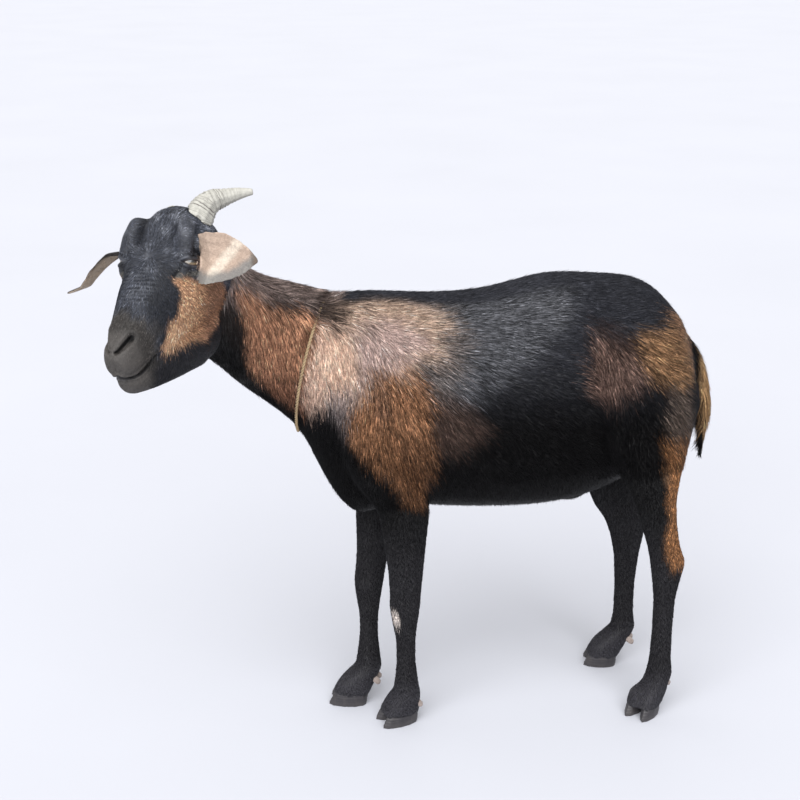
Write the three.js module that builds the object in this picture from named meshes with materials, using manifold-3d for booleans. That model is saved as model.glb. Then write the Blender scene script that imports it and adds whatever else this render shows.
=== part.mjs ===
// A short-haired goat with small horns, standing with its head turned to its left, at life size.
// Millimetres, +Z up. The goat faces -X and its left side is on -Y. The floor is at Z = 0.
// The body is built as smooth tubes through oval sections, joined whole and parted by thin cuts.
import * as THREE from 'three';
import { mergeVertices } from 'three/addons/utils/BufferGeometryUtils.js';
import Module from 'manifold-3d';

const wasm = await Module();
wasm.setup();

// Driving sizes of the animal.
const GAP = 0.3; // between pieces that touch
const WITHERS = 642; // height at the shoulders
const HIP = 653; // height over the hip bones
const BELLY = 326; // height under the deepest part of the trunk
const TRUNK_HALF = 110; // half the width of the barrel
const KNEE = 193;
const HOCK = 240;
const HORN_REACH = 1; // how far the horns sweep back, against a young adult's 61 mm
const EAR_LENGTH = 94; // of the leaf, beyond its root
const EYE_RADIUS = 13.5;
const CORD_RADIUS = 2.3;
const FRONT_CLAW_LENGTH = 56;
const HIND_CLAW_LENGTH = 50;
// The middle of the animal's box on the floor, which is put on the origin.
const BOX_MIDDLE = new THREE.Vector3(-143.5, -58.9, 0);

const LEFT = -1; // on -Y
const RIGHT = 1;
const UP = new THREE.Vector3(0, 0, 1);
const DOWN = new THREE.Vector3(0, 0, -1);
const FORWARD = new THREE.Vector3(-1, 0, 0);

// ---------------------------------------------------------------- shapes

function vec(x, y, z) {
  return new THREE.Vector3(x, y, z);
}

// A closed three.js geometry as a solid that can be joined and cut.
function toSolid(geometry) {
  const bare = geometry.clone();
  bare.deleteAttribute('normal');
  bare.deleteAttribute('uv');
  const merged = mergeVertices(bare, 1e-4);
  const triVerts = new Uint32Array(merged.index.array);
  const vertProperties = merged.attributes.position.array;
  return new wasm.Manifold(new wasm.Mesh({ numProp: 3, vertProperties, triVerts }));
}

function toGeometry(solid) {
  const { vertProperties, triVerts } = solid.getMesh();
  const geometry = new THREE.BufferGeometry();
  geometry.setAttribute('position', new THREE.BufferAttribute(vertProperties, 3));
  geometry.setIndex(new THREE.BufferAttribute(triVerts, 1));
  geometry.computeVertexNormals();
  return geometry;
}

function join(solids) {
  return solids.reduce((whole, solid) => whole.add(solid));
}

// A coordinate of a rounded square: power 2 is a circle, more is squarer, less is more pointed.
function squared(value, power) {
  return Math.sign(value) * Math.abs(value) ** (2 / power);
}

// The sections of a loft as smooth functions of t, from 0 at the first to 1 at the last.
// A section has its centre, its reach up, down and to each side, how square its upper and lower
// halves are, how far its edges curl towards its underside, and which way is up in it. It faces
// the way that it gives as along, or else along the tube.
function smoothSections(sections) {
  const follow = (pick) => new THREE.CatmullRomCurve3(sections.map(pick), false, 'catmullrom', 0.5);
  const centres = follow((s) => s.at);
  const reaches = follow((s) => vec(s.up, s.down, s.half));
  const forms = follow((s) => vec(s.squareUp ?? 2, s.squareDown ?? 2, s.curl ?? 0));
  const dorsals = follow((s) => s.dorsal ?? UP);
  const facings = sections[0].along ? follow((s) => s.along) : null;
  return (t) => {
    const along = facings ? facings.getPoint(t).normalize() : centres.getTangent(t).normalize();
    const dorsal = dorsals.getPoint(t);
    dorsal.addScaledVector(along, -dorsal.dot(along)).normalize();
    return {
      centre: centres.getPoint(t),
      reach: reaches.getPoint(t),
      form: forms.getPoint(t),
      dorsal,
      left: dorsal.clone().cross(along),
      along,
    };
  };
}

// A point on a section's edge: side and top are the sine and cosine of its place round the edge.
function edgePoint(section, side, top, grow) {
  const { centre, reach, form, dorsal, left } = section;
  const power = top > 0 ? form.x : form.y;
  const height = squared(top, power) * ((top > 0 ? reach.x : reach.y) + grow);
  const width = squared(side, power);
  return centre
    .clone()
    .addScaledVector(left, width * (reach.z + grow))
    .addScaledVector(dorsal, height - form.z * width * width);
}

// A closed tube through oval sections, made by moving the points of a cylinder.
// Grow swells the tube all round.
function loft(sections, { sides = 16, steps = 2, grow = 0 } = {}) {
  const rings = (sections.length - 1) * steps;
  const sectionAt = smoothSections(sections);
  const geometry = new THREE.CylinderGeometry(1, 1, 1, sides, rings);
  const position = geometry.attributes.position;
  for (let i = 0; i < position.count; i += 1) {
    const t = Math.min(1, Math.max(0, 0.5 - position.getY(i)));
    const side = position.getX(i);
    const top = position.getZ(i);
    const section = sectionAt(t);
    const isCapMiddle = Math.hypot(side, top) < 0.5;
    const point = isCapMiddle ? section.centre : edgePoint(section, side, top, grow);
    if (t === 0) point.addScaledVector(section.along, -grow);
    if (t === 1) point.addScaledVector(section.along, grow);
    position.setXYZ(i, point.x, point.y, point.z);
  }
  return toSolid(geometry);
}

// A ball, or an egg with its three half sizes.
function ball(centre, half) {
  const geometry = new THREE.SphereGeometry(1, 14, 8);
  geometry.scale(half.x, half.y, half.z);
  geometry.translate(centre.x, centre.y, centre.z);
  return toSolid(geometry);
}

// A large block that holds all that lies on the far side of a plane.
function beyond(point, normal) {
  const size = 1000;
  const geometry = new THREE.BoxGeometry(size, size, size);
  geometry.translate(0, 0, size / 2);
  geometry.applyQuaternion(new THREE.Quaternion().setFromUnitVectors(UP, normal.clone().normalize()));
  geometry.translate(point.x, point.y, point.z);
  return toSolid(geometry);
}

// Cuts a solid by a plane and gives the side that the normal points away from, GAP / 2 short of it.
function keepBehind(solid, point, normal) {
  const short = point.clone().addScaledVector(normal.clone().normalize(), -GAP / 2);
  return solid.subtract(beyond(short, normal));
}

// ---------------------------------------------------------------- trunk and neck

// Sections of the trunk from the buttocks to the shoulders, then of the neck to the head.
// Each gives its back and underside, the height where it is widest, and its half width there.
function trunkSection(x, back, widest, underside, half, squareUp, squareDown) {
  return {
    at: vec(x, 0, widest),
    up: back - widest,
    down: widest - underside,
    half,
    squareUp,
    squareDown,
    along: FORWARD,
  };
}

// The neck rises by its tilt and turns to the left, in degrees.
function neckSection(x, y, z, reach, tilt, turn) {
  const rise = THREE.MathUtils.degToRad(tilt);
  const swing = THREE.MathUtils.degToRad(turn);
  const level = vec(-Math.cos(swing), -Math.sin(swing), 0);
  return {
    at: vec(x, y, z),
    ...reach,
    along: level.multiplyScalar(Math.cos(rise)).addScaledVector(UP, Math.sin(rise)),
  };
}

const TRUNK = [
  trunkSection(262, 520, 478, 436, 34, 2, 2),
  trunkSection(250, 559, 482, 412, 60, 2, 2),
  trunkSection(222, HIP - 43, 488, 388, 82, 2, 2),
  trunkSection(178, HIP - 9, 494, 360, 95, 1.9, 2),
  trunkSection(112, HIP, 490, 333, 101, 1.8, 2.1),
  trunkSection(45, HIP + 3, 478, 324, 107, 1.75, 2.2),
  trunkSection(-30, WITHERS - 3.5, 468, BELLY, TRUNK_HALF, 1.8, 2.2),
  trunkSection(-100, WITHERS - 7, 470, 330, 104, 1.8, 2.1),
  trunkSection(-165, WITHERS - 2, 480, 333, 88, 1.7, 2),
  trunkSection(-212, WITHERS, 496, 321, 76, 1.7, 2),
];

const NECK = [
  neckSection(-236, 0, 510, { up: 129, down: 146, half: 68 }, 5, 0),
  neckSection(-259, 0, 534, { up: 106, down: 99, half: 60 }, 13, 1),
  neckSection(-284, -1, 557, { up: 91, down: 86, half: 54 }, 20, 2),
  neckSection(-324, -7, 584, { up: 80, down: 78, half: 49 }, 26, 8),
  neckSection(-364, -22, 615, { up: 65, down: 68, half: 46 }, 33, 25),
  neckSection(-396, -42, 648, { up: 59, down: 66, half: 44 }, 42, 45),
  neckSection(-414, -56, 684, { up: 50, down: 56, half: 42 }, 50, 55),
];

const BODY = [...TRUNK, ...NECK];
const CORD_SECTION = TRUNK.length + 1.35; // counted along the body's sections

// A section of the body at a place counted in its rows.
function bodySection(place) {
  return smoothSections(BODY)(place / (BODY.length - 1));
}

function bodyTube(grow) {
  return loft(BODY, { sides: 20, steps: 2, grow });
}

// The soft bump of the sheath under the belly.
function sheath() {
  return ball(vec(98, 0, 339), vec(28, 12, 24));
}

// ---------------------------------------------------------------- legs

// A leg's centre at a height, on the straight lines between its joints, which are given from the
// top down.
function onLimb(joints, z) {
  let i = 0;
  while (i < joints.length - 2 && joints[i + 1].z > z) i += 1;
  const from = joints[i];
  const to = joints[i + 1];
  const part = (from.z - z) / (from.z - to.z);
  return vec(
    from.x + (to.x - from.x) * part,
    from.y + (to.y - from.y) * part,
    z,
  );
}

function headingOf(side, degrees) {
  const turn = THREE.MathUtils.degToRad(degrees) * side;
  return vec(-Math.cos(turn), Math.sin(turn), 0);
}

// Rows of a leg from the top down: height, reach forward, back and to each side.
function foreLegRows(fetlock) {
  return [
    [585, 26, 26, 14],
    [520, 42, 42, 24],
    [455, 50, 54, 32],
    [395, 44, 52, 35],
    [345, 33, 37, 32],
    [292, 28, 31, 26],
    [245, 23, 26, 22],
    [KNEE + 20, 22, 22.5, 21],
    [KNEE, 23, 21, 22],
    [KNEE - 28, 19, 17, 18],
    [KNEE - 55, 14, 14, 14],
    [fetlock + 48, 13.5, 14, 13.5],
    [fetlock + 20, 16, 17, 17],
    [fetlock, 19, 20, 20],
    [fetlock - 16, 19, 18, 20],
    [18, 18, 18, 20],
    [8, 16, 18, 18],
  ];
}

// The gaskin is how far the lower thigh of the leg reaches forward beyond the other's.
function hindLegRows(fetlock, gaskin) {
  return [
    [600, 30, 26, 14],
    [545, 50, 48, 30],
    [485, 62, 60, 41],
    [425, 60, 50, 42],
    [383, 46 + gaskin * 0.3, 40, 37],
    [345, 31 + gaskin, 30, 30],
    [305, 26 + gaskin, 25 + gaskin * 0.12, 25],
    [272, 23 + gaskin * 0.9, 24 + gaskin * 0.15, 21],
    [HOCK + 4, 23 + gaskin * 0.45, 28 + gaskin * 0.12, 21],
    [HOCK - 22, 20 + gaskin * 0.35, 20.5 + gaskin * 0.12, 19.5],
    [HOCK - 55, 15.5 + gaskin * 0.22, 15.5 + gaskin * 0.12, 15.5],
    [HOCK - 105, 14.5 + gaskin * 0.08, 15, 14.5],
    [fetlock + 22, 15, 16, 16],
    [fetlock, 18, 20, 19],
    [fetlock - 20, 19, 17, 20],
    [20, 20, 17, 20],
    [8, 19, 16, 18],
  ];
}

const LEGS = {
  foreleg_left: {
    side: LEFT,
    hind: false,
    fetlock: 50,
    heading: 14,
    joints: [
      vec(-176, -40, 580),
      vec(-202, -56, 430),
      vec(-156, -60, 345),
      vec(-150, -44, KNEE),
      vec(-147, -33, 50),
      vec(-157, -28, 0),
    ],
    topCut: { at: vec(-165, -60, 350), normal: vec(0, 0.62, 1) },
    reach: { from: vec(-290, -150, -10), to: vec(-95, -4, 420) },
  },
  foreleg_right: {
    side: RIGHT,
    hind: false,
    fetlock: 58,
    heading: 14,
    joints: [
      vec(-176, 40, 580),
      vec(-206, 56, 430),
      vec(-173, 58, 345),
      vec(-188, 46, KNEE),
      vec(-192, 38, 58),
      vec(-219, 38, 0),
    ],
    topCut: { at: vec(-165, 60, 350), normal: vec(0, -0.62, 1) },
    reach: { from: vec(-290, 4, -10), to: vec(-95, 150, 420) },
  },
  hindleg_left: {
    side: LEFT,
    hind: true,
    gaskin: 0,
    fetlock: 64,
    heading: 42,
    joints: [
      vec(186, -44, 600),
      vec(200, -62, 480),
      vec(188, -74, 400),
      vec(196, -78, 340),
      vec(221, -72, HOCK),
      vec(222, -66, 64),
      vec(201, -67, 0),
    ],
    topCut: { at: vec(190, -75, 392), normal: vec(-0.2, 0.35, 1) },
    reach: { from: vec(105, -170, -10), to: vec(290, -22, 450) },
  },
  hindleg_right: {
    side: RIGHT,
    hind: true,
    gaskin: 27,
    fetlock: 62,
    heading: 14,
    joints: [
      vec(182, 44, 600),
      vec(190, 62, 480),
      vec(176, 76, 400),
      vec(190, 84, 335),
      vec(219, 90, HOCK - 12),
      vec(215, 86, 62),
      vec(184, 88, 0),
    ],
    topCut: { at: vec(190, 75, 392), normal: vec(-0.2, -0.35, 1) },
    reach: { from: vec(105, 22, -10), to: vec(290, 170, 450) },
  },
};

function legTube(leg, grow = 0) {
  const rows = leg.hind ? hindLegRows(leg.fetlock, leg.gaskin) : foreLegRows(leg.fetlock);
  const foot = headingOf(leg.side, leg.heading);
  const sections = rows.map(([z, fore, back, half]) => ({
    at: onLimb(leg.joints, z),
    up: fore,
    down: back,
    half,
    dorsal: FORWARD.clone().lerp(foot, THREE.MathUtils.clamp(1 - z / KNEE, 0, 1)),
    along: DOWN,
  }));
  return loft(sections, { sides: 12, steps: 1, grow });
}

// The block of space that a leg is cut out of the whole body in.
function legSpace(leg, grow) {
  const size = leg.reach.to.clone().sub(leg.reach.from);
  const middle = leg.reach.to.clone().add(leg.reach.from).multiplyScalar(0.5);
  const geometry = new THREE.BoxGeometry(size.x + grow, size.y + grow, size.z + grow);
  geometry.translate(middle.x, middle.y, middle.z);
  const lifted = leg.topCut.at.clone().addScaledVector(leg.topCut.normal.clone().normalize(), grow / 2);
  return toSolid(geometry).subtract(beyond(lifted, leg.topCut.normal));
}

// ---------------------------------------------------------------- feet

const CLAW_HALF = 10.3; // half the width of one claw
const CLAW_SPREAD = 11.6; // from the foot's middle line to a claw's
const CORONET = 33; // height of the hoof's upper edge at the foot's middle
const CORONET_SLOPE = 0.32; // it drops towards the heel

function coronet(leg) {
  const heading = headingOf(leg.side, leg.heading);
  const foot = leg.joints[leg.joints.length - 1];
  return {
    at: vec(foot.x, foot.y, CORONET),
    normal: vec(-heading.x * CORONET_SLOPE, -heading.y * CORONET_SLOPE, 1),
  };
}

// One of the two claws of a foot, with a flat sole on the floor.
function claw(leg, clawSide) {
  const length = leg.hind ? HIND_CLAW_LENGTH : FRONT_CLAW_LENGTH;
  const foot = leg.joints[leg.joints.length - 1];
  const heading = headingOf(leg.side, leg.heading);
  const outward = heading.clone().cross(DOWN).multiplyScalar(clawSide);
  const splay = heading.clone().addScaledVector(outward, 0.07);
  const middle = foot.clone().addScaledVector(outward, CLAW_SPREAD);
  const row = (z, toe, heel, half, inward = 0) => ({
    at: vec(middle.x, middle.y, z).addScaledVector(outward, -inward),
    up: toe * length,
    down: heel * length,
    half: half * CLAW_HALF,
    squareUp: 1.75,
    squareDown: 2.1,
    dorsal: splay,
    along: DOWN,
  });
  const rows = [
    row(45, 0.13, 0.36, 0.74, 1.5),
    row(30, 0.28, 0.43, 0.96, 0.3),
    row(14, 0.46, 0.47, 1.05),
    row(5, 0.54, 0.46, 1.04),
    row(0, 0.55, 0.44, 0.96),
  ];
  const whole = loft(rows, { sides: 10, steps: 1 });
  const { at, normal } = coronet(leg);
  return keepBehind(whole, at, normal);
}

// A small blunt claw behind the fetlock, set on the skin.
function dewClaw(leg, clawSide) {
  const heading = headingOf(leg.side, leg.heading);
  const outward = heading.clone().cross(DOWN).multiplyScalar(clawSide);
  const from = onLimb(leg.joints, leg.fetlock - 13)
    .addScaledVector(heading, -10)
    .addScaledVector(outward, 9);
  const reach = heading.clone().multiplyScalar(-1).addScaledVector(DOWN, 0.9);
  const row = (along, half) => ({
    at: from.clone().addScaledVector(reach, along),
    up: half,
    down: half * 0.8,
    half,
  });
  const rows = [row(0, 5.5), row(8, 6), row(12, 5), row(14, 2.5)];
  return loft(rows, { sides: 6, steps: 1 }).subtract(legTube(leg, GAP));
}

// ---------------------------------------------------------------- head

// The head's own frame: along the nose, out of its left side, and up out of the forehead.
const POLL = vec(-418.5, -60, 719.2);
const NOSEWARD = vec(-0.502, -0.787, -0.36).normalize();
const HEAD_UP = vec(-0.282, -0.245, 0.928);
HEAD_UP.addScaledVector(NOSEWARD, -HEAD_UP.dot(NOSEWARD)).normalize();
const HEAD_LEFT = HEAD_UP.clone().cross(NOSEWARD);

function headDirection(along, left, up) {
  return vec(0, 0, 0)
    .addScaledVector(NOSEWARD, along)
    .addScaledVector(HEAD_LEFT, left)
    .addScaledVector(HEAD_UP, up);
}

function headPoint(along, left, up) {
  return POLL.clone().add(headDirection(along, left, up));
}

// Rows of the head from the poll to the nose: place along it, its top, its underside, the height
// where it is widest, half its width there, and how square it is above and below.
function headRow(along, top, bottom, widest, half, squareUp, squareDown) {
  return {
    at: headPoint(along, 0, widest),
    up: top - widest,
    down: widest - bottom,
    half,
    squareUp,
    squareDown,
    dorsal: HEAD_UP,
    along: NOSEWARD,
  };
}

const SKULL = [
  headRow(-15, 34, -60, -12, 28, 2, 2),
  headRow(-4, 58, -72, -8, 43, 2.2, 2),
  headRow(20, 71, -86, 0, 51, 2.2, 1.8),
  headRow(48, 65, -92, 6, 54, 2.4, 1.7),
  headRow(78, 52, -88, 4, 52, 2.5, 1.7),
  headRow(110, 38.5, -78, -4, 45, 2.4, 1.8),
  headRow(144, 29, -62, -14, 35.5, 2.3, 2),
  headRow(175, 17, -52, -18, 26, 2.3, 2.2),
  headRow(197, 5, -49, -20, 22, 2.3, 2.3),
  headRow(210, -4, -46, -22, 18, 2.2, 2.2),
  headRow(217, -13, -39, -24, 12, 2, 2),
];

// The lower jaw, from the angle under the ear to the chin.
const JAW = [
  headRow(26, -24, -98, -60, 24, 2, 2),
  headRow(54, -24, -124, -72, 37, 2, 2),
  headRow(88, -24, -121, -72, 36, 2, 2),
  headRow(125, -22, -108, -62, 29, 2, 2),
  headRow(163, -26, -92, -56, 24, 2, 2),
  headRow(190, -30, -79, -54, 21, 2, 2),
  headRow(205, -34, -71, -54, 16, 2, 2),
  headRow(213, -42, -64, -54, 9, 2, 2),
];

const EYE = { along: 74, out: 42, up: 27 };
const EAR_ROOT = 0.23; // the root's share of an ear
const EAR_TO_EYE = 2.5; // the least space between the left ear and its eye

// The ridge over and behind an eye.
function browRidge(side) {
  const row = (along, out, up, size) => ({
    at: headPoint(along, side * out, up),
    up: size,
    down: size,
    half: size,
    dorsal: HEAD_UP,
    along: NOSEWARD,
  });
  return [
    row(28, 28, 52, 9),
    row(45, 33, 61, 14),
    row(64, 38, 50, 14),
    row(86, 42.5, 33, 11),
    row(98, 41.5, 22, 6),
  ];
}

function headFlesh(grow) {
  const solids = [
    loft(SKULL, { sides: 18, steps: 2, grow }),
    loft(JAW, { sides: 12, steps: 1, grow }),
  ];
  for (const side of [1, -1]) solids.push(loft(browRidge(side), { sides: 8, steps: 1, grow }));
  return join(solids);
}

function eye(side, grow = 0) {
  const radius = EYE_RADIUS + grow;
  return ball(headPoint(EYE.along, side * EYE.out, EYE.up), vec(radius, radius, radius));
}

// A horn sweeps back over the poll and turns outwards. It is slightly flat from side to side.
// The right one starts lower and lies closer to the head.
function horn(side) {
  const low = side > 0 ? 0 : 0.85;
  const drop = side > 0 ? 0 : 5;
  const row = (back, out, up, radius) => ({
    at: headPoint(7 - back * HORN_REACH, side * out * (1 - low * 0.3), up - drop - low * Math.max(0, back)),
    up: radius,
    down: radius,
    half: radius * 0.88,
    dorsal: HEAD_UP,
  });
  const rows = [
    row(-14, 22, 32, 18),
    row(0, 25, 46, 20),
    row(22, 30, 55, 16.5),
    row(40, 41, 52, 12),
    row(53, 57, 50, 7.8),
    row(61, 72, 47.5, 4),
  ];
  return loft(rows, { sides: 10, steps: 2 }).subtract(headFlesh(GAP));
}

// An ear is a thin leaf, hollow on its inner side, on a narrow root in the head. It follows the
// line of its middle. A row says how far along that line it is, from 0 to 1. Its inner side turns
// from the way that it faces at the root to the way that it faces from the middle on.
function ear({ line, along, rootInner, inner, half, cup }) {
  const curve = new THREE.CatmullRomCurve3(line);
  const facing = (t) => rootInner.clone().lerp(inner, Math.min(1, 2 * t));
  const row = (t, width, thick, curl) => ({
    at: curve.getPointAt(t),
    up: thick,
    down: thick,
    half: width * half,
    curl: -curl * cup * half,
    dorsal: facing(t).negate(),
    along,
  });
  const rows = [
    row(0, 0.36, 7, -0.1),
    row(0.12, 0.48, 4.5, -0.2),
    row(EAR_ROOT, 0.95, 2.8, -0.3),
    row(0.38, 1, 2.4, -0.3),
    row(0.6, 0.92, 2.2, -0.22),
    row(0.8, 0.66, 2, -0.14),
    row(0.92, 0.36, 1.8, -0.06),
    row(1, 0.1, 1.5, 0),
  ];
  const leaf = loft(rows, { sides: 14, steps: 1 });
  return leaf.subtract(headFlesh(GAP)).subtract(eye(1, EAR_TO_EYE));
}

const leafBase = headPoint(68, 61, 29); // where the left ear's leaf starts
const EARS = {
  ear_left: {
    line: [
      headPoint(42, 44, 14),
      leafBase,
      leafBase.clone().add(headDirection(0.1, 0.48, 0.09).multiplyScalar(EAR_LENGTH)),
      leafBase.clone().add(headDirection(0.25, 0.96, 0.14).multiplyScalar(EAR_LENGTH)),
    ],
    along: headDirection(0.245, 0.959, 0.143),
    rootInner: headDirection(0.804, -0.283, 0.524),
    inner: headDirection(0.804, -0.283, 0.524),
    half: 32.5,
    cup: 1,
  },
  ear_right: {
    line: [
      headPoint(34, -42, 6),
      headPoint(40, -71, 19),
      headPoint(46, -93, 20),
      headPoint(54, -112, 8),
      headPoint(65, -130, -11),
      headPoint(75, -160, -19),
    ],
    rootInner: headDirection(0.74, -0.15, -0.66),
    inner: headDirection(0.3, 0.62, -0.65),
    half: 20,
    cup: 0.35,
  },
};

// ---------------------------------------------------------------- tail and cord

function tail() {
  const row = (x, y, z, up, down, half) => ({ at: vec(x, y, z), up, down, half, dorsal: vec(1, 0, 0.5) });
  const rows = [
    row(242, 0, 552, 16, 16, 18),
    row(261, 0, 530, 14, 17, 18),
    row(276, 0, 496, 13, 16, 18),
    row(284, -2, 455, 12, 15, 19),
    row(286.5, -3, 415, 10, 12, 17),
    row(286, -4, 388, 8, 8, 12),
    row(285.5, -4, 370, 3, 3, 5),
  ];
  return loft(rows, { sides: 12, steps: 2 });
}

// The cord lies close round the root of the neck, further forward over the mane and at the sides
// than under the throat.
function neckCord() {
  const points = [];
  const count = 24;
  for (let i = 0; i < count; i += 1) {
    const angle = (2 * Math.PI * i) / count;
    const forward = 0.17 + 0.63 * Math.abs(Math.sin(angle)) + 0.27 * Math.cos(angle);
    const section = bodySection(CORD_SECTION + forward);
    const slack = CORD_RADIUS + 1.2 + 0.4 * (1 - Math.cos(angle));
    points.push(edgePoint(section, Math.sin(angle), Math.cos(angle), slack));
  }
  const loop = new THREE.CatmullRomCurve3(points, true);
  return toSolid(new THREE.TubeGeometry(loop, 44, CORD_RADIUS, 6, true));
}

// ---------------------------------------------------------------- the goat

const hair = (color, roughness = 0.7) => new THREE.MeshStandardMaterial({ color, roughness, metalness: 0 });
const BLACK_COAT = hair(0x1c1b1e);
const SLATE_COAT = hair(0x3a3b42);
const TAN_COAT = hair(0x8a6248);
const PINK_EAR = hair(0xc9a891);
const DARK_EAR = hair(0x4a4242);
const HORN = new THREE.MeshStandardMaterial({ color: 0xb9b5ab, roughness: 0.55, metalness: 0 });
const HOOF = new THREE.MeshStandardMaterial({ color: 0x3c3940, roughness: 0.6, metalness: 0 });
const DEW_CLAW = new THREE.MeshStandardMaterial({ color: 0x9b8d84, roughness: 0.6, metalness: 0 });
const AMBER_EYE = new THREE.MeshStandardMaterial({ color: 0x6d4a22, roughness: 0.08, metalness: 0 });
const CORD = new THREE.MeshStandardMaterial({ color: 0xb49a72, roughness: 0.85, metalness: 0 });

const goat = new THREE.Group();
goat.position.copy(BOX_MIDDLE).negate();

function place(name, solid, material) {
  const mesh = new THREE.Mesh(toGeometry(solid), material);
  mesh.name = name;
  goat.add(mesh);
}

const legs = Object.entries(LEGS);
const headGrown = headFlesh(GAP);
const { centre: neckRoot, along: neckward } = bodySection(CORD_SECTION);
const tube = bodyTube(0);

const neck = keepBehind(tube, neckRoot, neckward.clone().negate());
place('neck', neck.subtract(headGrown), TAN_COAT);

const legTubes = legs.map(([, leg]) => legTube(leg));
const wholeTrunk = join([keepBehind(tube, neckRoot, neckward), sheath(), ...legTubes]);
let trunk = wholeTrunk;
for (const [name, leg] of legs) {
  trunk = trunk.subtract(legSpace(leg, 2 * GAP));
  const { at, normal } = coronet(leg);
  const wholeLeg = wholeTrunk.intersect(legSpace(leg, 0));
  place(name, keepBehind(wholeLeg, at, normal.clone().negate()), BLACK_COAT);
}
place('trunk', trunk, BLACK_COAT);
place('tail', tail().subtract(bodyTube(GAP)), BLACK_COAT);

for (const [name, leg] of legs) {
  for (const [clawName, clawSide] of [['left', 1], ['right', -1]]) {
    place(`claw_${name}_${clawName}`, claw(leg, clawSide), HOOF);
    place(`dewclaw_${name}_${clawName}`, dewClaw(leg, clawSide), DEW_CLAW);
  }
}

place('head', headFlesh(0).subtract(eye(1, GAP)).subtract(eye(-1, GAP)), SLATE_COAT);
place('eye_left', eye(1), AMBER_EYE);
place('eye_right', eye(-1), AMBER_EYE);
place('horn_left', horn(1), HORN);
place('horn_right', horn(-1), HORN);
place('ear_left', ear(EARS.ear_left), PINK_EAR);
place('ear_right', ear(EARS.ear_right), DARK_EAR);
place('neck_cord', neckCord(), CORD);

export default goat;
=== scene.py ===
import math

import bmesh
import bpy
import numpy as np
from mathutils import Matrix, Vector
from mathutils.bvhtree import BVHTree
from mathutils.kdtree import KDTree


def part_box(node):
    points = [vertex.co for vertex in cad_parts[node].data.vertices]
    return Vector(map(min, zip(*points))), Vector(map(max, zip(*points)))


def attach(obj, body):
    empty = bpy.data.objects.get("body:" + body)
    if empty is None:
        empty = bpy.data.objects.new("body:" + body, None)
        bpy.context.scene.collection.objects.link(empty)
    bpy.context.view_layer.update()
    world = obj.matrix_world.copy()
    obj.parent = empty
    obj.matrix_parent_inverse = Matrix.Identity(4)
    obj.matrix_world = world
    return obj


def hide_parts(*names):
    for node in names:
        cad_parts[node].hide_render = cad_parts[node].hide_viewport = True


# A short-haired goat with small horns, standing with its head turned to its left, as a life-size
# museum model. It faces -X with its left side on -Y. The sections follow the making of such a
# model: the stand for it to be seen on, the form with its skin, then the hard parts, then the coat.
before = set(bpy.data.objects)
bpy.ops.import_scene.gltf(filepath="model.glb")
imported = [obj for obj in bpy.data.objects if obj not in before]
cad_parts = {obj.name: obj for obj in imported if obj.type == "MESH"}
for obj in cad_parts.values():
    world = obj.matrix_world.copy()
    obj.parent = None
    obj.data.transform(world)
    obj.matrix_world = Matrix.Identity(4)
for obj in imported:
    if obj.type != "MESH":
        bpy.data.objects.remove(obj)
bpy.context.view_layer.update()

# ---------------------------------------------------------------- floor, lights and camera
# The model stands on a wide pale painted floor in a studio. Light falls evenly from above, as
# under a cloudy sky, a weak soft box fills in from the front, and the pale room gives the rest.


def linear(hex_colour):
    """An sRGB hex colour as the linear values that shaders use."""
    values = [int(hex_colour[i : i + 2], 16) / 255 for i in (1, 3, 5)]
    return [v / 12.92 if v <= 0.04045 else ((v + 0.055) / 1.055) ** 2.4 for v in values]


def add_node(material, kind, settings=None, **inputs):
    """A shader node with its settings, its inputs set to a value or hex colour or linked to a socket."""
    made = material.node_tree.nodes.new("ShaderNode" + kind)
    for name, value in (settings or {}).items():
        setattr(made, name, value)
    for name, value in inputs.items():
        key = int(name[1:]) if name[0] == "_" and name[1:].isdigit() else name.replace("_", " ")
        if isinstance(value, bpy.types.NodeSocket):
            material.node_tree.links.new(value, made.inputs[key])
        else:
            made.inputs[key].default_value = (*linear(value), 1) if isinstance(value, str) else value
    return made


def new_material(name):
    """An empty material, which finish_material gives its output, and the places on its piece."""
    material = bpy.data.materials.new(name)
    material.use_nodes = True
    material.node_tree.nodes.clear()
    return material, add_node(material, "TexCoord").outputs["Object"]


def finish_material(material, shader):
    add_node(material, "OutputMaterial", Surface=shader.outputs[0])


def select_only(*pieces):
    """Selects these pieces and nothing else, and makes the first one active."""
    bpy.ops.object.select_all(action="DESELECT")
    for piece in pieces:
        piece.select_set(True)
    if pieces:
        bpy.context.view_layer.objects.active = pieces[0]


def put_in_scene(name, data):
    """An object for a mesh, a light or a camera."""
    made = bpy.data.objects.new(name, data)
    bpy.context.collection.objects.link(made)
    return made


# Matt pale paint on a screed floor: it has a faint cloudiness from the roller.
COLOURS = {"data_type": "RGBA"}
painted_floor, places = new_material("matt_floor_paint")
clouds = add_node(painted_floor, "TexNoise", Vector=places, Scale=1 / 0.7, Detail=3.0).outputs["Fac"]
paint = add_node(painted_floor, "Mix", COLOURS, _0=clouds, _6="#b4b6be", _7="#babcc4").outputs[2]
finish_material(painted_floor, add_node(painted_floor, "BsdfPrincipled", Base_Color=paint, Roughness=0.8))

select_only()
bpy.ops.mesh.primitive_plane_add(size=90, location=(0, 0, 0))
floor = bpy.context.object
floor.name = "studio_floor"
floor.data.materials.append(painted_floor)

room = bpy.data.worlds.new("pale_room")
room.use_nodes = True
room.node_tree.nodes["Background"].inputs["Color"].default_value = (*linear("#f6f5f4"), 1)
room.node_tree.nodes["Background"].inputs["Strength"].default_value = 1.0
bpy.context.scene.world = room

sky = bpy.data.lights.new("cloudy_skylight", "SUN")
sky.energy = 4.5
sky.angle = math.radians(70)
skylight = put_in_scene("cloudy_skylight", sky)
skylight.rotation_euler = Vector((-0.28, -1, 0.92)).to_track_quat("Z", "Y").to_euler()

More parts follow.
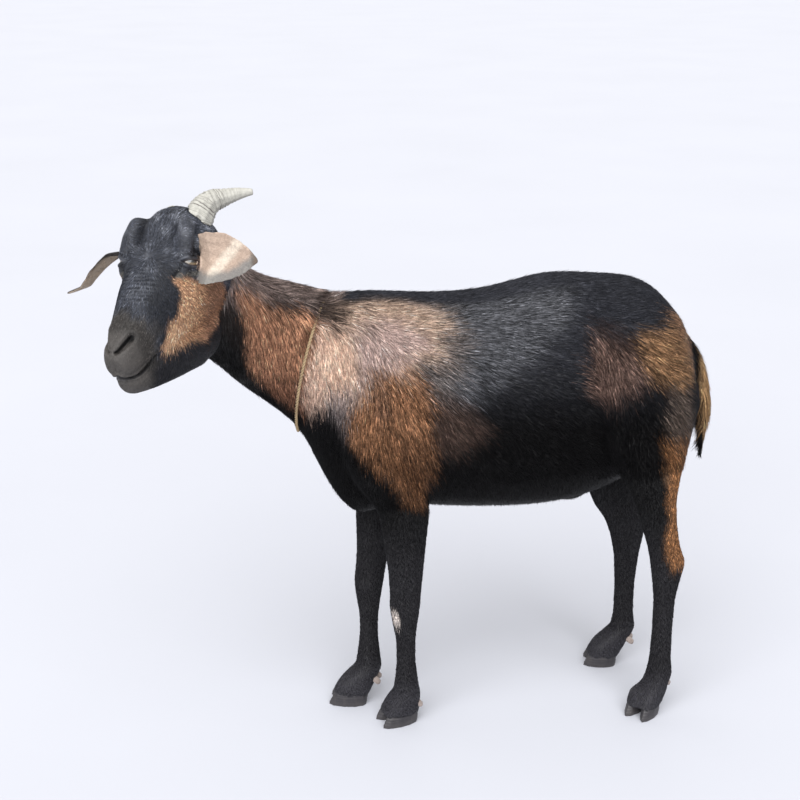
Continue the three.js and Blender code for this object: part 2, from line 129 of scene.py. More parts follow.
soft_box = bpy.data.lights.new("front_soft_box", "AREA")
soft_box.size = 1.4
soft_box.energy = 9
front = put_in_scene("front_soft_box", soft_box)
front.location = (-2.0, -2.2, 1.7)
front.rotation_euler = (Vector((-0.2, 0, 0.5)) - Vector(front.location)).to_track_quat("-Z", "Y").to_euler()

# The camera stands higher than the back, a little ahead of the shoulder, and looks down on the trunk.
CAMERA_AIM = Vector((-0.0070, 0.0589, 0.4836))
CAMERA_AZIMUTH = math.radians(-9.5)
CAMERA_ELEVATION = math.radians(19)
CAMERA_DISTANCE = 1.943
backward = Vector(
    (
        math.sin(CAMERA_AZIMUTH) * math.cos(CAMERA_ELEVATION),
        -math.cos(CAMERA_AZIMUTH) * math.cos(CAMERA_ELEVATION),
        math.sin(CAMERA_ELEVATION),
    )
)
lens = bpy.data.cameras.new("camera")
lens.sensor_width = 36
lens.lens = 63.87
camera = put_in_scene("camera", lens)
camera.location = CAMERA_AIM + backward * CAMERA_DISTANCE
camera.rotation_euler = (-backward).to_track_quat("-Z", "Y").to_euler()
bpy.context.scene.camera = camera
bpy.context.scene.view_settings.view_transform = "Standard"

# ---------------------------------------------------------------- form and skin
# Under the coat the whole animal is one skin: head, ears, neck, trunk, legs and tail. On the model
# it is one sculpted form with no seam, made from the flesh solids.

FLESH = {  # how far the solids' facets are smoothed over, and how deep the coat lies there, in metres
    "trunk": (0.011, 0.0022),
    "neck": (0.007, 0.0022),
    "head": (0.0030, 0.0008),
    "tail": (0.0035, 0.0022),
    "foreleg_left": (0.0032, 0.0007),
    "foreleg_right": (0.0032, 0.0007),
    "hindleg_left": (0.0034, 0.0007),
    "hindleg_right": (0.0034, 0.0007),
    "ear_left": (0.0013, 0.0003),
    "ear_right": (0.0012, 0.0003),
}
SMOOTHING_ROUNDS = 60
SKIN_FACE = 0.0052  # a face of the skin, before the head's share is shrunk back
HEAD_MAGNIFIED = 3.5  # the head and ears are this much larger while the skin's faces are laid out
FOOT_TOP = 0.085  # below this the leg is skin over bone, under shorter hair
PASTERN_TOP = 0.062
CLAW_SHOWN = 0.0145  # how much of the claws shows under the hair of the pasterns
CLAW_COVER = 0.0011  # how far the flesh and hair stand out round the claws
EYE_RADIUS = 0.0135
LID_THICKNESS = 0.0011


def centre_of(node):
    low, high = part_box(node)
    return (np.array(low) + np.array(high)) / 2


def unit(vectors):
    vectors = np.asarray(vectors, float)
    return vectors / np.maximum(np.linalg.norm(vectors, axis=-1, keepdims=True), 1e-12)


def dot(a, b):
    return np.sum(a * b, axis=-1)


def smoothstep(low, high, value):
    share = np.clip((value - low) / (high - low), 0, 1)
    return share * share * (3 - 2 * share)


# The head's own frame: along the nose, out of its left side, and up out of the forehead. The eyes
# lie 74 mm along it and 27 mm up.
eye_centres = {1: centre_of("eye_left"), -1: centre_of("eye_right")}
HEAD_LEFT = unit(eye_centres[1] - eye_centres[-1])
NOSEWARD = np.array((-0.502, -0.787, -0.36))
NOSEWARD = unit(NOSEWARD - dot(NOSEWARD, HEAD_LEFT) * HEAD_LEFT)
HEAD_UP = np.cross(NOSEWARD, HEAD_LEFT)
HEAD_AXES = np.array([NOSEWARD, HEAD_LEFT, HEAD_UP])
POLL = (eye_centres[1] + eye_centres[-1]) / 2 - 0.074 * NOSEWARD - 0.027 * HEAD_UP


def on_head(points):
    """Places in the head's own frame, in millimetres."""
    return (np.asarray(points) - POLL) @ HEAD_AXES.T * 1000


def from_head(places):
    """Places given in the head's own millimetres, in the model's frame."""
    return POLL + np.asarray(places, float) / 1000 @ HEAD_AXES


def read_rows(items, name, size, kind=float):
    """A property of a mesh's points, edges or corners, as one row of numbers for each."""
    values = np.empty(len(items) * size, kind)
    items.foreach_get(name, values)
    return values.reshape(-1, size)


def read_points(mesh):
    return read_rows(mesh.vertices, "co", 3)


def read_normals(mesh):
    return read_rows(mesh.vertices, "normal", 3)


def read_edges(mesh):
    return read_rows(mesh.edges, "vertices", 2, np.int32)


def read_triangles(mesh, name="vertices"):
    mesh.calc_loop_triangles()
    return read_rows(mesh.loop_triangles, name, 3, np.int32)


def write_points(mesh, points):
    mesh.vertices.foreach_set("co", np.asarray(points, np.float32).ravel())
    mesh.update()


def mean_of_neighbours(values, edges):
    """The mean of each point's neighbours along the edges."""
    values = values.reshape(len(values), -1)
    total = np.empty_like(values)
    for k in range(values.shape[1]):
        total[:, k] = np.bincount(edges[:, 0], values[edges[:, 1], k], len(values))
        total[:, k] += np.bincount(edges[:, 1], values[edges[:, 0], k], len(values))
    return total / np.bincount(edges.ravel(), minlength=len(values))[:, None]


def merged_copy(node, name):
    """A closed copy of a solid, as an object of its own."""
    copy = put_in_scene(name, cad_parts[node].data.copy())
    shape = bmesh.new()
    shape.from_mesh(copy.data)
    bmesh.ops.remove_doubles(shape, verts=shape.verts, dist=1e-6)
    shape.to_mesh(copy.data)
    shape.free()
    copy.data.materials.clear()
    return copy


def remeshed(piece, size):
    """Covers a closed piece with even faces of a size."""
    cover = piece.modifiers.new("even_faces", "REMESH")
    cover.mode = "VOXEL"
    cover.voxel_size = size
    select_only(piece)
    bpy.ops.object.modifier_apply(modifier=cover.name)


def write_colours(mesh, colours):
    """Gives a mesh the colours that its hair or surface has, one at each point."""
    layer = mesh.color_attributes.new("hair_colour", "FLOAT_COLOR", "POINT")
    opaque = np.column_stack((colours, np.ones(len(colours)))).astype(np.float32)
    layer.data.foreach_set("color", opaque.ravel())


def write_values(mesh, name, values):
    """Gives a mesh a named number at each point, which its material reads."""
    layer = mesh.attributes.new(name, "FLOAT", "POINT")
    layer.data.foreach_set("value", np.asarray(values, np.float32))


def finish_piece(piece, material, slot, *nodes):
    """Dresses a piece, makes it shade smoothly and puts it in the nodes' place."""
    piece.data.materials.clear()
    piece.data.materials.append(material)
    select_only(piece)
    bpy.ops.object.shade_smooth()
    if nodes:
        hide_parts(*nodes)
    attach(piece, "root")


# The flesh solids are joined with a ball over each eye, which the lids are cut from, and a filling
# between the lips.
select_only()
parts = [merged_copy(node, "form_" + node) for node in FLESH]
solid_points, solid_faces, solid_parts = [], [], []
for i, part in enumerate(parts):
    triangles = read_triangles(part.data)
    solid_faces.append(triangles + sum(len(points) for points in solid_points))
    solid_points.append(read_points(part.data))
    solid_parts += [i] * len(triangles)
for side in (1, -1):
    bpy.ops.mesh.primitive_uv_sphere_add(
        segments=48, ring_count=24, radius=EYE_RADIUS + LID_THICKNESS, location=eye_centres[side]
    )
    parts.append(bpy.context.object)
# A wedge of flesh runs from each pastern down over the upper half of its two claws.
for leg in ("foreleg_left", "foreleg_right", "hindleg_left", "hindleg_right"):
    low_leg = read_points(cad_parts[leg].data)
    gathered = [low_leg[low_leg[:, 2] < PASTERN_TOP]]
    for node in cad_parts:
        if node.startswith("claw_" + leg):
            shape = bmesh.new()
            shape.from_mesh(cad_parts[node].data)
            whole = shape.verts[:] + shape.edges[:] + shape.faces[:]
            bmesh.ops.bisect_plane(
                shape, geom=whole, plane_co=(0, 0, CLAW_SHOWN), plane_no=(0, 0, 1), clear_inner=True
            )
            gathered.append(np.array([vert.co[:] for vert in shape.verts]))
            shape.free()
    gathered = np.concatenate(gathered)
    spread = gathered - gathered.mean(axis=0)
    gathered = gathered + unit(spread * (1, 1, 0)) * CLAW_COVER
    shape = bmesh.new()
    wedge_points = [shape.verts.new(place) for place in gathered.tolist()]
    hull = bmesh.ops.convex_hull(shape, input=wedge_points)
    bmesh.ops.delete(shape, geom=list(set(hull["geom_interior"] + hull["geom_unused"])), context="VERTS")
    wedge = put_in_scene("wedge_" + leg, bpy.data.meshes.new("wedge"))
    shape.to_mesh(wedge.data)
    shape.free()
    parts.append(wedge)
bpy.ops.mesh.primitive_uv_sphere_add(segments=32, ring_count=16, radius=1, location=from_head((198, 0, -42)))
lips = bpy.context.object
lips.scale = (0.015, 0.017, 0.017)
lips.rotation_euler = Vector(NOSEWARD).to_track_quat("X", "Z").to_euler()
select_only(*parts, lips)
bpy.ops.object.join()
skin = bpy.context.object
skin.name = "skin"
bpy.ops.object.transform_apply()

# For laying out its faces the form is blown up round the head, which so gets finer ones.
HEAD_MIDDLE = from_head((80, 0, -10))
reach = np.linspace(0, 1.4, 1400)
stretch = 1 + (HEAD_MAGNIFIED - 1) * (1 - smoothstep(0.15, 0.34, reach))
blown_reach = np.concatenate(([0], np.cumsum((stretch[1:] + stretch[:-1]) / 2 * np.diff(reach))))


def rescale_round_head(points, old, new):
    away = points - HEAD_MIDDLE
    distance = np.linalg.norm(away, axis=1)
    return HEAD_MIDDLE + away * (np.interp(distance, old, new) / np.maximum(distance, 1e-9))[:, None]


write_points(skin.data, rescale_round_head(read_points(skin.data), reach, blown_reach))
remeshed(skin, SKIN_FACE)
write_points(skin.data, rescale_round_head(read_points(skin.data), blown_reach, reach))

# The left nostril's slit, the left half of the mouth, and the other lines of the face, in the
# head's own millimetres. The right side has the same ones.
NOSTRIL = np.array(
    [(190.8, 17.3, -0.6), (197.5, 15.3, -1), (204.6, 11.7, -3), (209.4, 8.1, -5.2), (211.4, 4.6, -6.3)]
)
NOSTRIL_DEEP = np.array([0.77, 0.60, 0.22])
MOUTH = [
    (217, 0.0, -36.7), (213.6, 7.6, -40.3), (205.8, 12.5, -43.3),
    (195.6, 16.8, -43.9), (180.5, 19.3, -42.6), (168, 21.4, -39.3),
]


def along_line(places, line):
    """The distance of places from a bent line, and how far along it the nearest spot is, 0 to 1."""
    line = np.array(line, float)
    runs = line[1:] - line[:-1]
    lengths = np.linalg.norm(runs, axis=1)
    distance, place = np.full(len(places), np.inf), np.zeros(len(places))
    for i, run in enumerate(runs):
        share = np.clip((places - line[i]) @ run / (run @ run), 0, 1)
        away = np.linalg.norm(places - line[i] - share[:, None] * run, axis=1)
        place = np.where(away < distance, (lengths[:i].sum() + share * lengths[i]) / lengths.sum(), place)
        distance = np.minimum(distance, away)
    return distance, place


def from_nostrils(face):
    """The distance of places on the head from the nostrils' slits, and how far along a slit."""
    out = np.where(face[:, 1] < 0, abs(face[:, 1]) - 3, face[:, 1])  # the right one lies further out
    level = np.eye(3) - 0.85 * np.outer(NOSTRIL_DEEP, NOSTRIL_DEEP)  # depth in the slit counts little
    return along_line(np.column_stack((face[:, 0], out, face[:, 2])) @ level, NOSTRIL @ level)


def both_sides(face):
    """Places on the head, with those of its right side mirrored to the left."""
    return np.column_stack((face[:, 0], abs(face[:, 1]), face[:, 2]))


# The fine parts of the face get faces half as large.
face = on_head(read_points(skin.data))
near_eye = np.linalg.norm(both_sides(face) - (74, 42, 27), axis=1) < 25
fine = near_eye | (from_nostrils(face)[0] < 9) | (along_line(both_sides(face), MOUTH)[0] < 8)
shape = bmesh.new()
shape.from_mesh(skin.data)
chosen_edges = [edge for edge in shape.edges if fine[edge.verts[0].index] and fine[edge.verts[1].index]]
bmesh.ops.subdivide_edges(shape, edges=chosen_edges, cuts=1, use_grid_fill=True)
shape.to_mesh(skin.data)
shape.free()

# Each point's part of the body, and what that part's smoothing and coat depth are.
PART_NAMES = np.array(list(FLESH))
solids = BVHTree.FromPolygons(np.concatenate(solid_points).tolist(), np.concatenate(solid_faces).tolist())
points = read_points(skin.data)
edges = read_edges(skin.data)
part_of = np.array([solid_parts[solids.find_nearest(place)[2]] for place in points.tolist()])
names_of = PART_NAMES[part_of]
on_the_head = names_of == "head"
smoothing, coat_depth = np.array(list(FLESH.values()))[part_of].T
tail_end = (names_of == "tail") * smoothstep(0.455, 0.41, points[:, 2])
coat_depth = coat_depth + 0.005 * tail_end  # the tail's end is all hair
low_leg = smoothstep(FOOT_TOP + 0.03, FOOT_TOP - 0.02, points[:, 2])
smoothing *= 1 - 0.4 * low_leg
coat_depth *= 1 - 0.5 * low_leg
for _ in range(25):
    smoothing = mean_of_neighbours(smoothing, edges)[:, 0]
    coat_depth = mean_of_neighbours(coat_depth, edges)[:, 0]
lengths = np.linalg.norm(points[edges[:, 0]] - points[edges[:, 1]], axis=1)
meeting = np.bincount(edges.ravel(), minlength=len(points))
face_size = np.bincount(edges.ravel(), np.repeat(lengths, 2), len(points)) / meeting
share = np.minimum(0.8, 2 * smoothing**2 / (face_size**2 * SMOOTHING_ROUNDS))[:, None]
faceted = points
for _ in range(SMOOTHING_ROUNDS):
    points = points + share * (mean_of_neighbours(points, edges) - points)
# What the smoothing took off the form as a whole is given back, spread out.
lost = faceted - points
for _ in range(24):
    lost = mean_of_neighbours(lost, edges)
points = points + 0.8 * lost
write_points(skin.data, points)
points = points - read_normals(skin.data) * coat_depth[:, None]
write_points(skin.data, points)


def cloud_field(points, size, seed):
    """Soft noise of about -1 to 1 over points, with lumps of a size in metres and of half that."""
    total = np.zeros(len(points))
    for k in range(2):
        scaled = points / size * 2**k + seed * 7.31 + k * 3.7
        cell = np.floor(scaled).astype(np.int64)
        part = scaled - cell
        part = part * part * (3 - 2 * part)
        for corner in range(8):
            step = np.array([corner & 1, corner >> 1 & 1, corner >> 2 & 1])
            x, y, z = (cell + step).T
            mix = (x * 374761393 + y * 668265263 + z * 2147483647 + seed * 144269) & 0x7FFFFFFF
            mix = (mix ^ (mix >> 13)) * 1274126177 & 0x7FFFFFFF
            value = (mix ^ (mix >> 16)) / 0x3FFFFFFF - 1
            total += value * np.prod(np.where(step, part, 1 - part), axis=1) / 2**k
    return total


def swelling(away, size):
    """A smooth swelling, 1 in its middle, from how far places are from it and its size."""
    return np.exp(-((away / size) ** 2))


def swelling_at(places, centre, size):
    """The same round a centre, with a size of its own in each direction."""
    return np.exp(-np.sum(((places - centre) / size) ** 2, axis=1))


# The sculpting: swellings and hollows of the body, in metres from the model's middle line.
MIDLINE = (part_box("trunk")[0].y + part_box("trunk")[1].y) / 2
BODY_FORMS = [  # centre, reach in each direction, height
    ((-0.075, -0.115, 0.575), (0.020, 0.10, 0.070), 0.0022),  # the shoulder blade's spine
    ((-0.125, -0.10, 0.470), (0.028, 0.10, 0.030), 0.0040),  # the point of the shoulder
    ((0.030, -0.12, 0.520), (0.022, 0.12, 0.070), -0.0030),  # behind the shoulder
    ((-0.035, -0.10, 0.400), (0.022, 0.10, 0.026), 0.0035),  # the elbow
    ((0.218, -0.09, 0.620), (0.026, 0.10, 0.022), 0.0045),  # the hip bone
    ((0.160, -0.11, 0.575), (0.036, 0.10, 0.034), -0.0045),  # the hollow before it
    ((0.235, -0.11, 0.460), (0.018, 0.12, 0.060), 0.0028),  # the fold of the flank
    ((0.270, -0.10, 0.425), (0.028, 0.10, 0.030), 0.0030),  # the stifle
    ((0.382, -0.05, 0.580), (0.022, 0.10, 0.020), 0.0040),  # the pin bone
    ((0.315, -0.10, 0.470), (0.020, 0.12, 0.070), -0.0022),  # between the thigh's muscles
]
heights = np.zeros(len(points))
body_side = np.column_stack((points[:, 0], -abs(points[:, 1] - MIDLINE), points[:, 2]))
for centre, size, height in BODY_FORMS:
    heights += height * swelling_at(body_side, centre, size)
heights *= np.isin(names_of, ["trunk", "hindleg_left", "hindleg_right"])

# Over the withers the cord presses a groove into the mane.
solid_cord = read_points(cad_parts["neck_cord"].data)
CORD_TOP = solid_cord[:, 2].max()


def cord_distance(places):
    return np.linalg.norm(places[:, None] - solid_cord[None], axis=2).min(axis=1)


def pressed_share(up):
    """How firmly the cord is pressed into the mane at a height: fully near its top."""
    return smoothstep(CORD_TOP - 0.060, CORD_TOP - 0.015, up)


on_withers = np.isin(names_of, ["trunk", "neck"]) & (points[:, 0] < -0.05)
under_cord = np.flatnonzero(on_withers & (points[:, 2] > CORD_TOP - 0.075))
from_cord = cord_distance(points[under_cord])
pressed = pressed_share(points[under_cord, 2])
heights[under_cord] -= 0.0034 * pressed * swelling(from_cord, 0.0065)
heights[under_cord] += 0.0016 * pressed * swelling(from_cord - 0.017, 0.008)

# The face. The brows have a furrow inside them, the cheek swells over the jaw, and the lips roll
# outward round the mouth.
FACE_FORMS = [  # centre in the head's millimetres, reach in each direction, height
    ((58, 24, 64), (24, 6.5, 30), -1.7),  # the furrow inside the brow
    ((60, 38, 54), (20, 9, 18), 0.8),  # the brow
    ((62, 0, 60), (28, 9, 25), 1.6),  # the forehead's middle
    ((102, 33, 18), (11, 8, 9), -2.6),  # the hollow before the eye
    ((120, 27, -4), (34, 9, 5), 1.4),  # the cheek's crest
    ((64, 44, -38), (30, 14, 26), 2.2),  # the muscle of the jaw
    ((122, 24, -34), (22, 9, 14), -2.0),  # the hollow between it and the lips
    ((150, 18, 16), (22, 7, 12), -1.2),  # beside the nose's bridge
    ((201, 15, -30), (13, 9, 6), 1.5),  # the upper lip
    ((200, 13, -53), (14, 10, 6), 1.0),  # the lower lip
    ((212, 0, -22), (9, 1.5, 12), -1.3),  # the groove under the nose
]
face = on_head(points)
mirrored = both_sides(face)
for centre, size, height in FACE_FORMS:
    heights += on_the_head * height / 1000 * swelling_at(mirrored, centre, size)

from_nostril, nostril_share = from_nostrils(face)
slit = 1.7 + 2.5 * (1 - nostril_share) ** 1.3
heights -= 0.0075 * swelling(from_nostril, slit) * on_the_head
wing = swelling(from_nostril - slit - 4.0, 3.0)
heights += 0.0012 * wing * smoothstep(-12, 4, face[:, 2]) * on_the_head
from_mouth, mouth_share = along_line(mirrored, MOUTH)
mouth_depth = 0.0016 + 0.0018 * smoothstep(0, 0.3, mouth_share)
heights -= mouth_depth * swelling(from_mouth, 1.5) * on_the_head
heights += 0.0010 * swelling(from_mouth - 3.6, 1.8) * on_the_head


def nose_rows(face):
    """Low wavy rows of hair across the nose's bridge: -1 to 1, and how strong they are."""
    along, left, up = face.T
    wave = np.sin((along + 3.0 * cloud_field(face / 1000, 0.016, 51) + 0.010 * left**2) * 2 * math.pi / 5.4)
    broken = smoothstep(-0.7, 0.5, cloud_field(face / 1000, 0.011, 52))
    on_bridge = smoothstep(82, 100, along) * smoothstep(162, 145, along) * smoothstep(30, 20, abs(left))
    return wave, on_bridge * broken * (up > 0)


wave, strength = nose_rows(face)
heights += 0.00035 * wave * strength * on_the_head
TEAR_LINE = [(90.5, 44, 37.5), (96, 39.5, 31), (103, 34, 24)]
heights -= 0.0016 * swelling(along_line(mirrored, TEAR_LINE)[0], 1.7) * on_the_head

# The ears have low lengthwise folds.
for name, fold_width in (("ear_left", 1.7), ("ear_right", 2.2)):
    ripple = np.sin(face[:, 2] / fold_width + 0.02 * face[:, 1])
    heights += 0.00025 * ripple * (names_of == name)
points = points + read_normals(skin.data) * heights[:, None]

# The lids. Each eye's own frame is the way it looks, the line from its rear corner to its front
# one, and up. Inside the almond of the opening the skin goes back behind the eyeball.
OPENING_HALF = 11.6  # millimetres along the opening, on the lids' ball
OPENING_UP = 3.6
OPENING_DOWN = 4.4
LID_BALL = (EYE_RADIUS + LID_THICKNESS) * 1000
eye_axes = {}
for side in (1, -1):
    gaze = unit(np.array((0.445, 0.80 * side, 0.40)))
    frontward = np.array((0.61, -0.60 * side, 0.52))
    frontward = unit(frontward - dot(frontward, gaze) * gaze)
    eye_axes[side] = np.array([frontward, side * np.cross(frontward, gaze), gaze]) @ HEAD_AXES
from_lids = np.full(len(points), -99.0)
for side in (1, -1):
    away = points - eye_centres[side]
    distance = np.linalg.norm(away, axis=1)
    near = (distance < 0.027) & on_the_head
    turned = away[near] / distance[near, None] @ eye_axes[side].T
    across, high = turned[:, 0] * LID_BALL, turned[:, 1] * LID_BALL
    arch = 1 - (across / OPENING_HALF) ** 2
    opening = np.minimum(OPENING_UP * arch - high, high + OPENING_DOWN * arch)
    opening = np.where(turned[:, 2] > 0.1, opening, -20)
    radius = np.maximum(distance[near], EYE_RADIUS + 0.0008)
    fold = 0.0011 * swelling(opening + 4.3, 1.0) * (high > 0) * (abs(across) < 13)
    fold += 0.0008 * swelling(opening + 3.6, 1.0) * (high <= 0) * (abs(across) < 12)
    roll = 0.0006 * swelling(opening + 1.6, 1.2)
    radius = radius - fold + roll
    inward = smoothstep(-0.5, 0.7, opening)
    radius = radius + (EYE_RADIUS - 0.0025 - radius) * inward
    points[near] = eye_centres[side] + unit(away[near]) * radius[:, None]
    from_lids[near] = opening
write_points(skin.data, points)

# Under the coat the skin needs far fewer faces than on the face and ears. The coat's share is
# thinned first, down to one count of faces in all, and then the rest, down to the other.
under_coat = skin.vertex_groups.new(name="under_coat")
covered = ~np.isin(names_of, ["head", "ear_left", "ear_right"])
under_coat.add(np.flatnonzero(covered).tolist(), 1.0, "ADD")
select_only(skin)
for faces_left, on_the_face in ((245_000, False), (192_000, True)):
    thinned = skin.modifiers.new("thinned", "DECIMATE")
    thinned.ratio = faces_left / len(read_triangles(skin.data))
    thinned.vertex_group = "under_coat"
    thinned.invert_vertex_group = on_the_face
    bpy.ops.object.modifier_apply(modifier="thinned")
skin.vertex_groups.clear()
kept = KDTree(len(points))
for i, place in enumerate(points.tolist()):
    kept.insert(place, i)
kept.balance()
nearest = [kept.find(place)[1] for place in read_points(skin.data).tolist()]
part_of, from_lids = part_of[nearest], from_lids[nearest]


# ---------------------------------------------------------------- eyes
# Glass eyes, 27 mm across, with an amber iris and the goat's level slit of a pupil, set behind the
# lids. The lids' dark wet edges lie on them, as rolls of skin of their own.

glass_eye, places = new_material("amber_glass_eye")
from_pupil = add_node(glass_eye, "Attribute", {"attribute_name": "from_pupil"}).outputs["Fac"]
from_iris_edge = add_node(glass_eye, "Attribute", {"attribute_name": "from_iris_edge"}).outputs["Fac"]
flecks = add_node(glass_eye, "TexNoise", Vector=places, Scale=1 / 0.0011, Detail=4.0).outputs["Fac"]
# Amber with pale flecks, darker towards its edge: this is what gives the eye its look.
amber = add_node(glass_eye, "Mix", COLOURS, _0=flecks, _6="#3b2f1e", _7="#6c5a40").outputs[2]
eye_zones = [  # where each darker zone of the eye begins and is full, and its colour
    (from_iris_edge, -4.0, 0.0, "#3a2814"),
    (from_pupil, 0.25, -0.15, "#08070a"),
    (from_iris_edge, -0.3, 0.5, "#1c1412"),
]
for distance, begins, full, colour in eye_zones:
    share = add_node(glass_eye, "MapRange", Value=distance, _1=begins, _2=full).outputs[0]
    amber = add_node(glass_eye, "Mix", COLOURS, _0=share, _6=amber, _7=colour).outputs[2]
shader = add_node(
    glass_eye, "BsdfPrincipled", Base_Color=amber, Roughness=0.22, Coat_Weight=1.0, Coat_Roughness=0.03
)
finish_material(glass_eye, shader)

lid_leather, places = new_material("wet_lid_edge")
grain = add_node(lid_leather, "TexNoise", Vector=places, Scale=1 / 0.0012, Detail=3.0).outputs["Fac"]
tone = add_node(lid_leather, "Mix", COLOURS, _0=grain, _6="#161214", _7="#2e2526").outputs[2]
finish_material(lid_leather, add_node(lid_leather, "BsdfPrincipled", Base_Color=tone, Roughness=0.32))


def add_mesh(name, points, faces):
    """A piece from points and faces."""
    mesh = bpy.data.meshes.new(name)
    mesh.from_pydata(np.asarray(points).tolist(), [], np.asarray(faces).tolist())
    mesh.update()
    return put_in_scene(name, mesh)


def loop_roll(name, centres, outward, radius, sides):
    """A roll of an even thickness along a closed line, whose section is laid out from outward."""
    forward = unit(np.roll(centres, -1, axis=0) - np.roll(centres, 1, axis=0))
    outward = unit(outward - dot(outward, forward)[:, None] * forward)
    across = np.cross(forward, outward)
    turn = np.arange(sides) / sides * 2 * math.pi
    ring = np.cos(turn)[None, :, None] * outward[:, None] + np.sin(turn)[None, :, None] * across[:, None]
    points = (centres[:, None] + ring * np.reshape(radius, (-1, 1, 1))).reshape(-1, 3)
    here = np.arange(len(centres))[:, None] * sides + np.arange(sides)
    after = np.roll(here, -1, axis=0)
    faces = np.stack((here, np.roll(here, -1, axis=1), np.roll(after, -1, axis=1), after), axis=-1)
    return add_mesh(name, points, faces.reshape(-1, 4))


PUPIL_HALF = 4.2  # millimetres, without its round ends
PUPIL_ROUND = 1.9
PUPIL_RAISED = 1.3
IRIS = 8.6
for side, name in ((1, "left"), (-1, "right")):
    select_only()
    bpy.ops.mesh.primitive_uv_sphere_add(
        segments=96, ring_count=48, radius=EYE_RADIUS - 0.0002, location=eye_centres[side]
    )
    eye = bpy.context.object
    eye.name = "eyeball_" + name
    bpy.ops.object.transform_apply()
    turned = (read_points(eye.data) - eye_centres[side]) * 1000 @ eye_axes[side].T
    ahead = turned[:, 2] > 0
    beyond = np.maximum(abs(turned[:, 0]) - PUPIL_HALF, 0)
    past_slit = np.hypot(beyond, turned[:, 1] - PUPIL_RAISED) - PUPIL_ROUND
    past_iris = np.hypot(turned[:, 0], turned[:, 1]) - IRIS
    write_values(eye.data, "from_pupil", np.where(ahead, past_slit, 9))
    write_values(eye.data, "from_iris_edge", np.where(ahead, past_iris, 9))
    finish_piece(eye, glass_eye, "eye", "eye_" + name)

    turn = np.linspace(0, 2 * math.pi, 72, endpoint=False)
    high = np.sin(turn)
    across = OPENING_HALF * np.cos(turn)
    high = np.where(high > 0, OPENING_UP, -OPENING_DOWN) * high**2
    flat = np.column_stack((across, high)) / LID_BALL
    deep = np.sqrt(1 - np.sum(flat**2, axis=1))
    outward = np.column_stack((flat, deep)) @ eye_axes[side]
    thick = 0.00078 + 0.00025 * (np.sin(turn) > 0) * abs(np.sin(turn))
    edge = loop_roll(
        "lid_edge_" + name, eye_centres[side] + outward * (EYE_RADIUS + 0.0003), outward, thick, 8
    )
    finish_piece(edge, lid_leather, "face_coat")

# ---------------------------------------------------------------- horns
# Short horns of grown layers: pale, with fine dark rings crowded near the skin, and worn smooth
# towards the tip. Each is one piece, set on the skull.


def fine_copy(node, name, size, rounds):
    """A copy of a hard solid in even small faces, with its facets rounded off but its bulk kept."""
    copy = merged_copy(node, name)
    remeshed(copy, size)
    points = read_points(copy.data)
    edges = read_edges(copy.data)
    for k in range(rounds * 2):
        share = 0.6 if k % 2 == 0 else -0.58
        points = points + share * (mean_of_neighbours(points, edges) - points)
    write_points(copy.data, points)
    return copy


def horn_line(side):
    """The middle of a horn, from within the skull to its tip, in the head's own millimetres."""
    low, drop = (0, 0) if side > 0 else (0.85, 5)
    rows = [(-14, 22, 32), (0, 25, 46), (22, 30, 55), (40, 41, 52), (53, 57, 50), (61, 72, 47.5)]
    back, out, up = np.array(rows, float).T
    return np.column_stack((7 - back, side * out * (1 - low * 0.3), up - drop - low * np.maximum(0, back)))


horn_stuff, places = new_material("grown_horn")
growth = add_node(horn_stuff, "Attribute", {"attribute_name": "growth"}).outputs["Fac"]
wander = add_node(horn_stuff, "TexNoise", Vector=places, Scale=1 / 0.009, Detail=3.0).outputs["Fac"]
uneven = add_node(horn_stuff, "Math", {"operation": "MULTIPLY_ADD"}, _0=wander, _1=5.0, _2=growth).outputs[0]
in_layers = {"noise_dimensions": "1D"}
rings = add_node(horn_stuff, "TexNoise", in_layers, W=uneven, Scale=0.42, Detail=3.0).outputs["Fac"]
dark = add_node(horn_stuff, "MapRange", Value=rings, _1=0.52, _2=0.68).outputs[0]
near_skin = add_node(horn_stuff, "MapRange", Value=growth, _1=92.0, _2=40.0).outputs[0]
ring_share = add_node(horn_stuff, "Math", {"operation": "MULTIPLY"}, _0=dark, _1=near_skin).outputs[0]
# Bone-white layers with a grey grain; the rings, dark with dirt, tell the horn from bone.
grain = add_node(horn_stuff, "TexNoise", Vector=places, Scale=1 / 0.004, Detail=5.0).outputs["Fac"]
layers = add_node(horn_stuff, "Mix", COLOURS, _0=grain, _6="#82817b", _7="#b5b3ab").outputs[2]
layers = add_node(horn_stuff, "Mix", COLOURS, _0=ring_share, _6=layers, _7="#5e5a56").outputs[2]
relief = add_node(horn_stuff, "Bump", Height=rings, Strength=0.5, Distance=0.0006).outputs[0]
shader = add_node(horn_stuff, "BsdfPrincipled", Base_Color=layers, Roughness=0.5, Normal=relief)
finish_material(horn_stuff, shader)

for side, name in ((1, "left"), (-1, "right")):
    horn = fine_copy("horn_" + name, "ringed_horn_" + name, 0.0009, 14)
    line = horn_line(side)
    points = read_points(horn.data)
    length = np.linalg.norm(line[1:] - line[:-1], axis=1).sum()
    away, share = along_line(on_head(points), line)
    grown = share * length
    ring = 0.00042 * np.sin(grown * 2 * math.pi / 4.6 + 1.5 * np.sin(grown * 0.31))
    ring += 0.00025 * np.sin(grown * 2 * math.pi / 1.9 + 2)
    worn = smoothstep(1.0, 0.55, share) * smoothstep(2, 6, away)
    points += read_normals(horn.data) * (ring * worn)[:, None]
    write_points(horn.data, points)
    write_values(horn.data, "growth", grown)
    finish_piece(horn, horn_stuff, "horn", "horn_" + name)

# ---------------------------------------------------------------- hooves and dew claws
# Dark horn claws, two to a foot, with low growth rings and a paler worn edge at the ground, and
# two small pale dew claws behind each pastern. They stand on the floor.

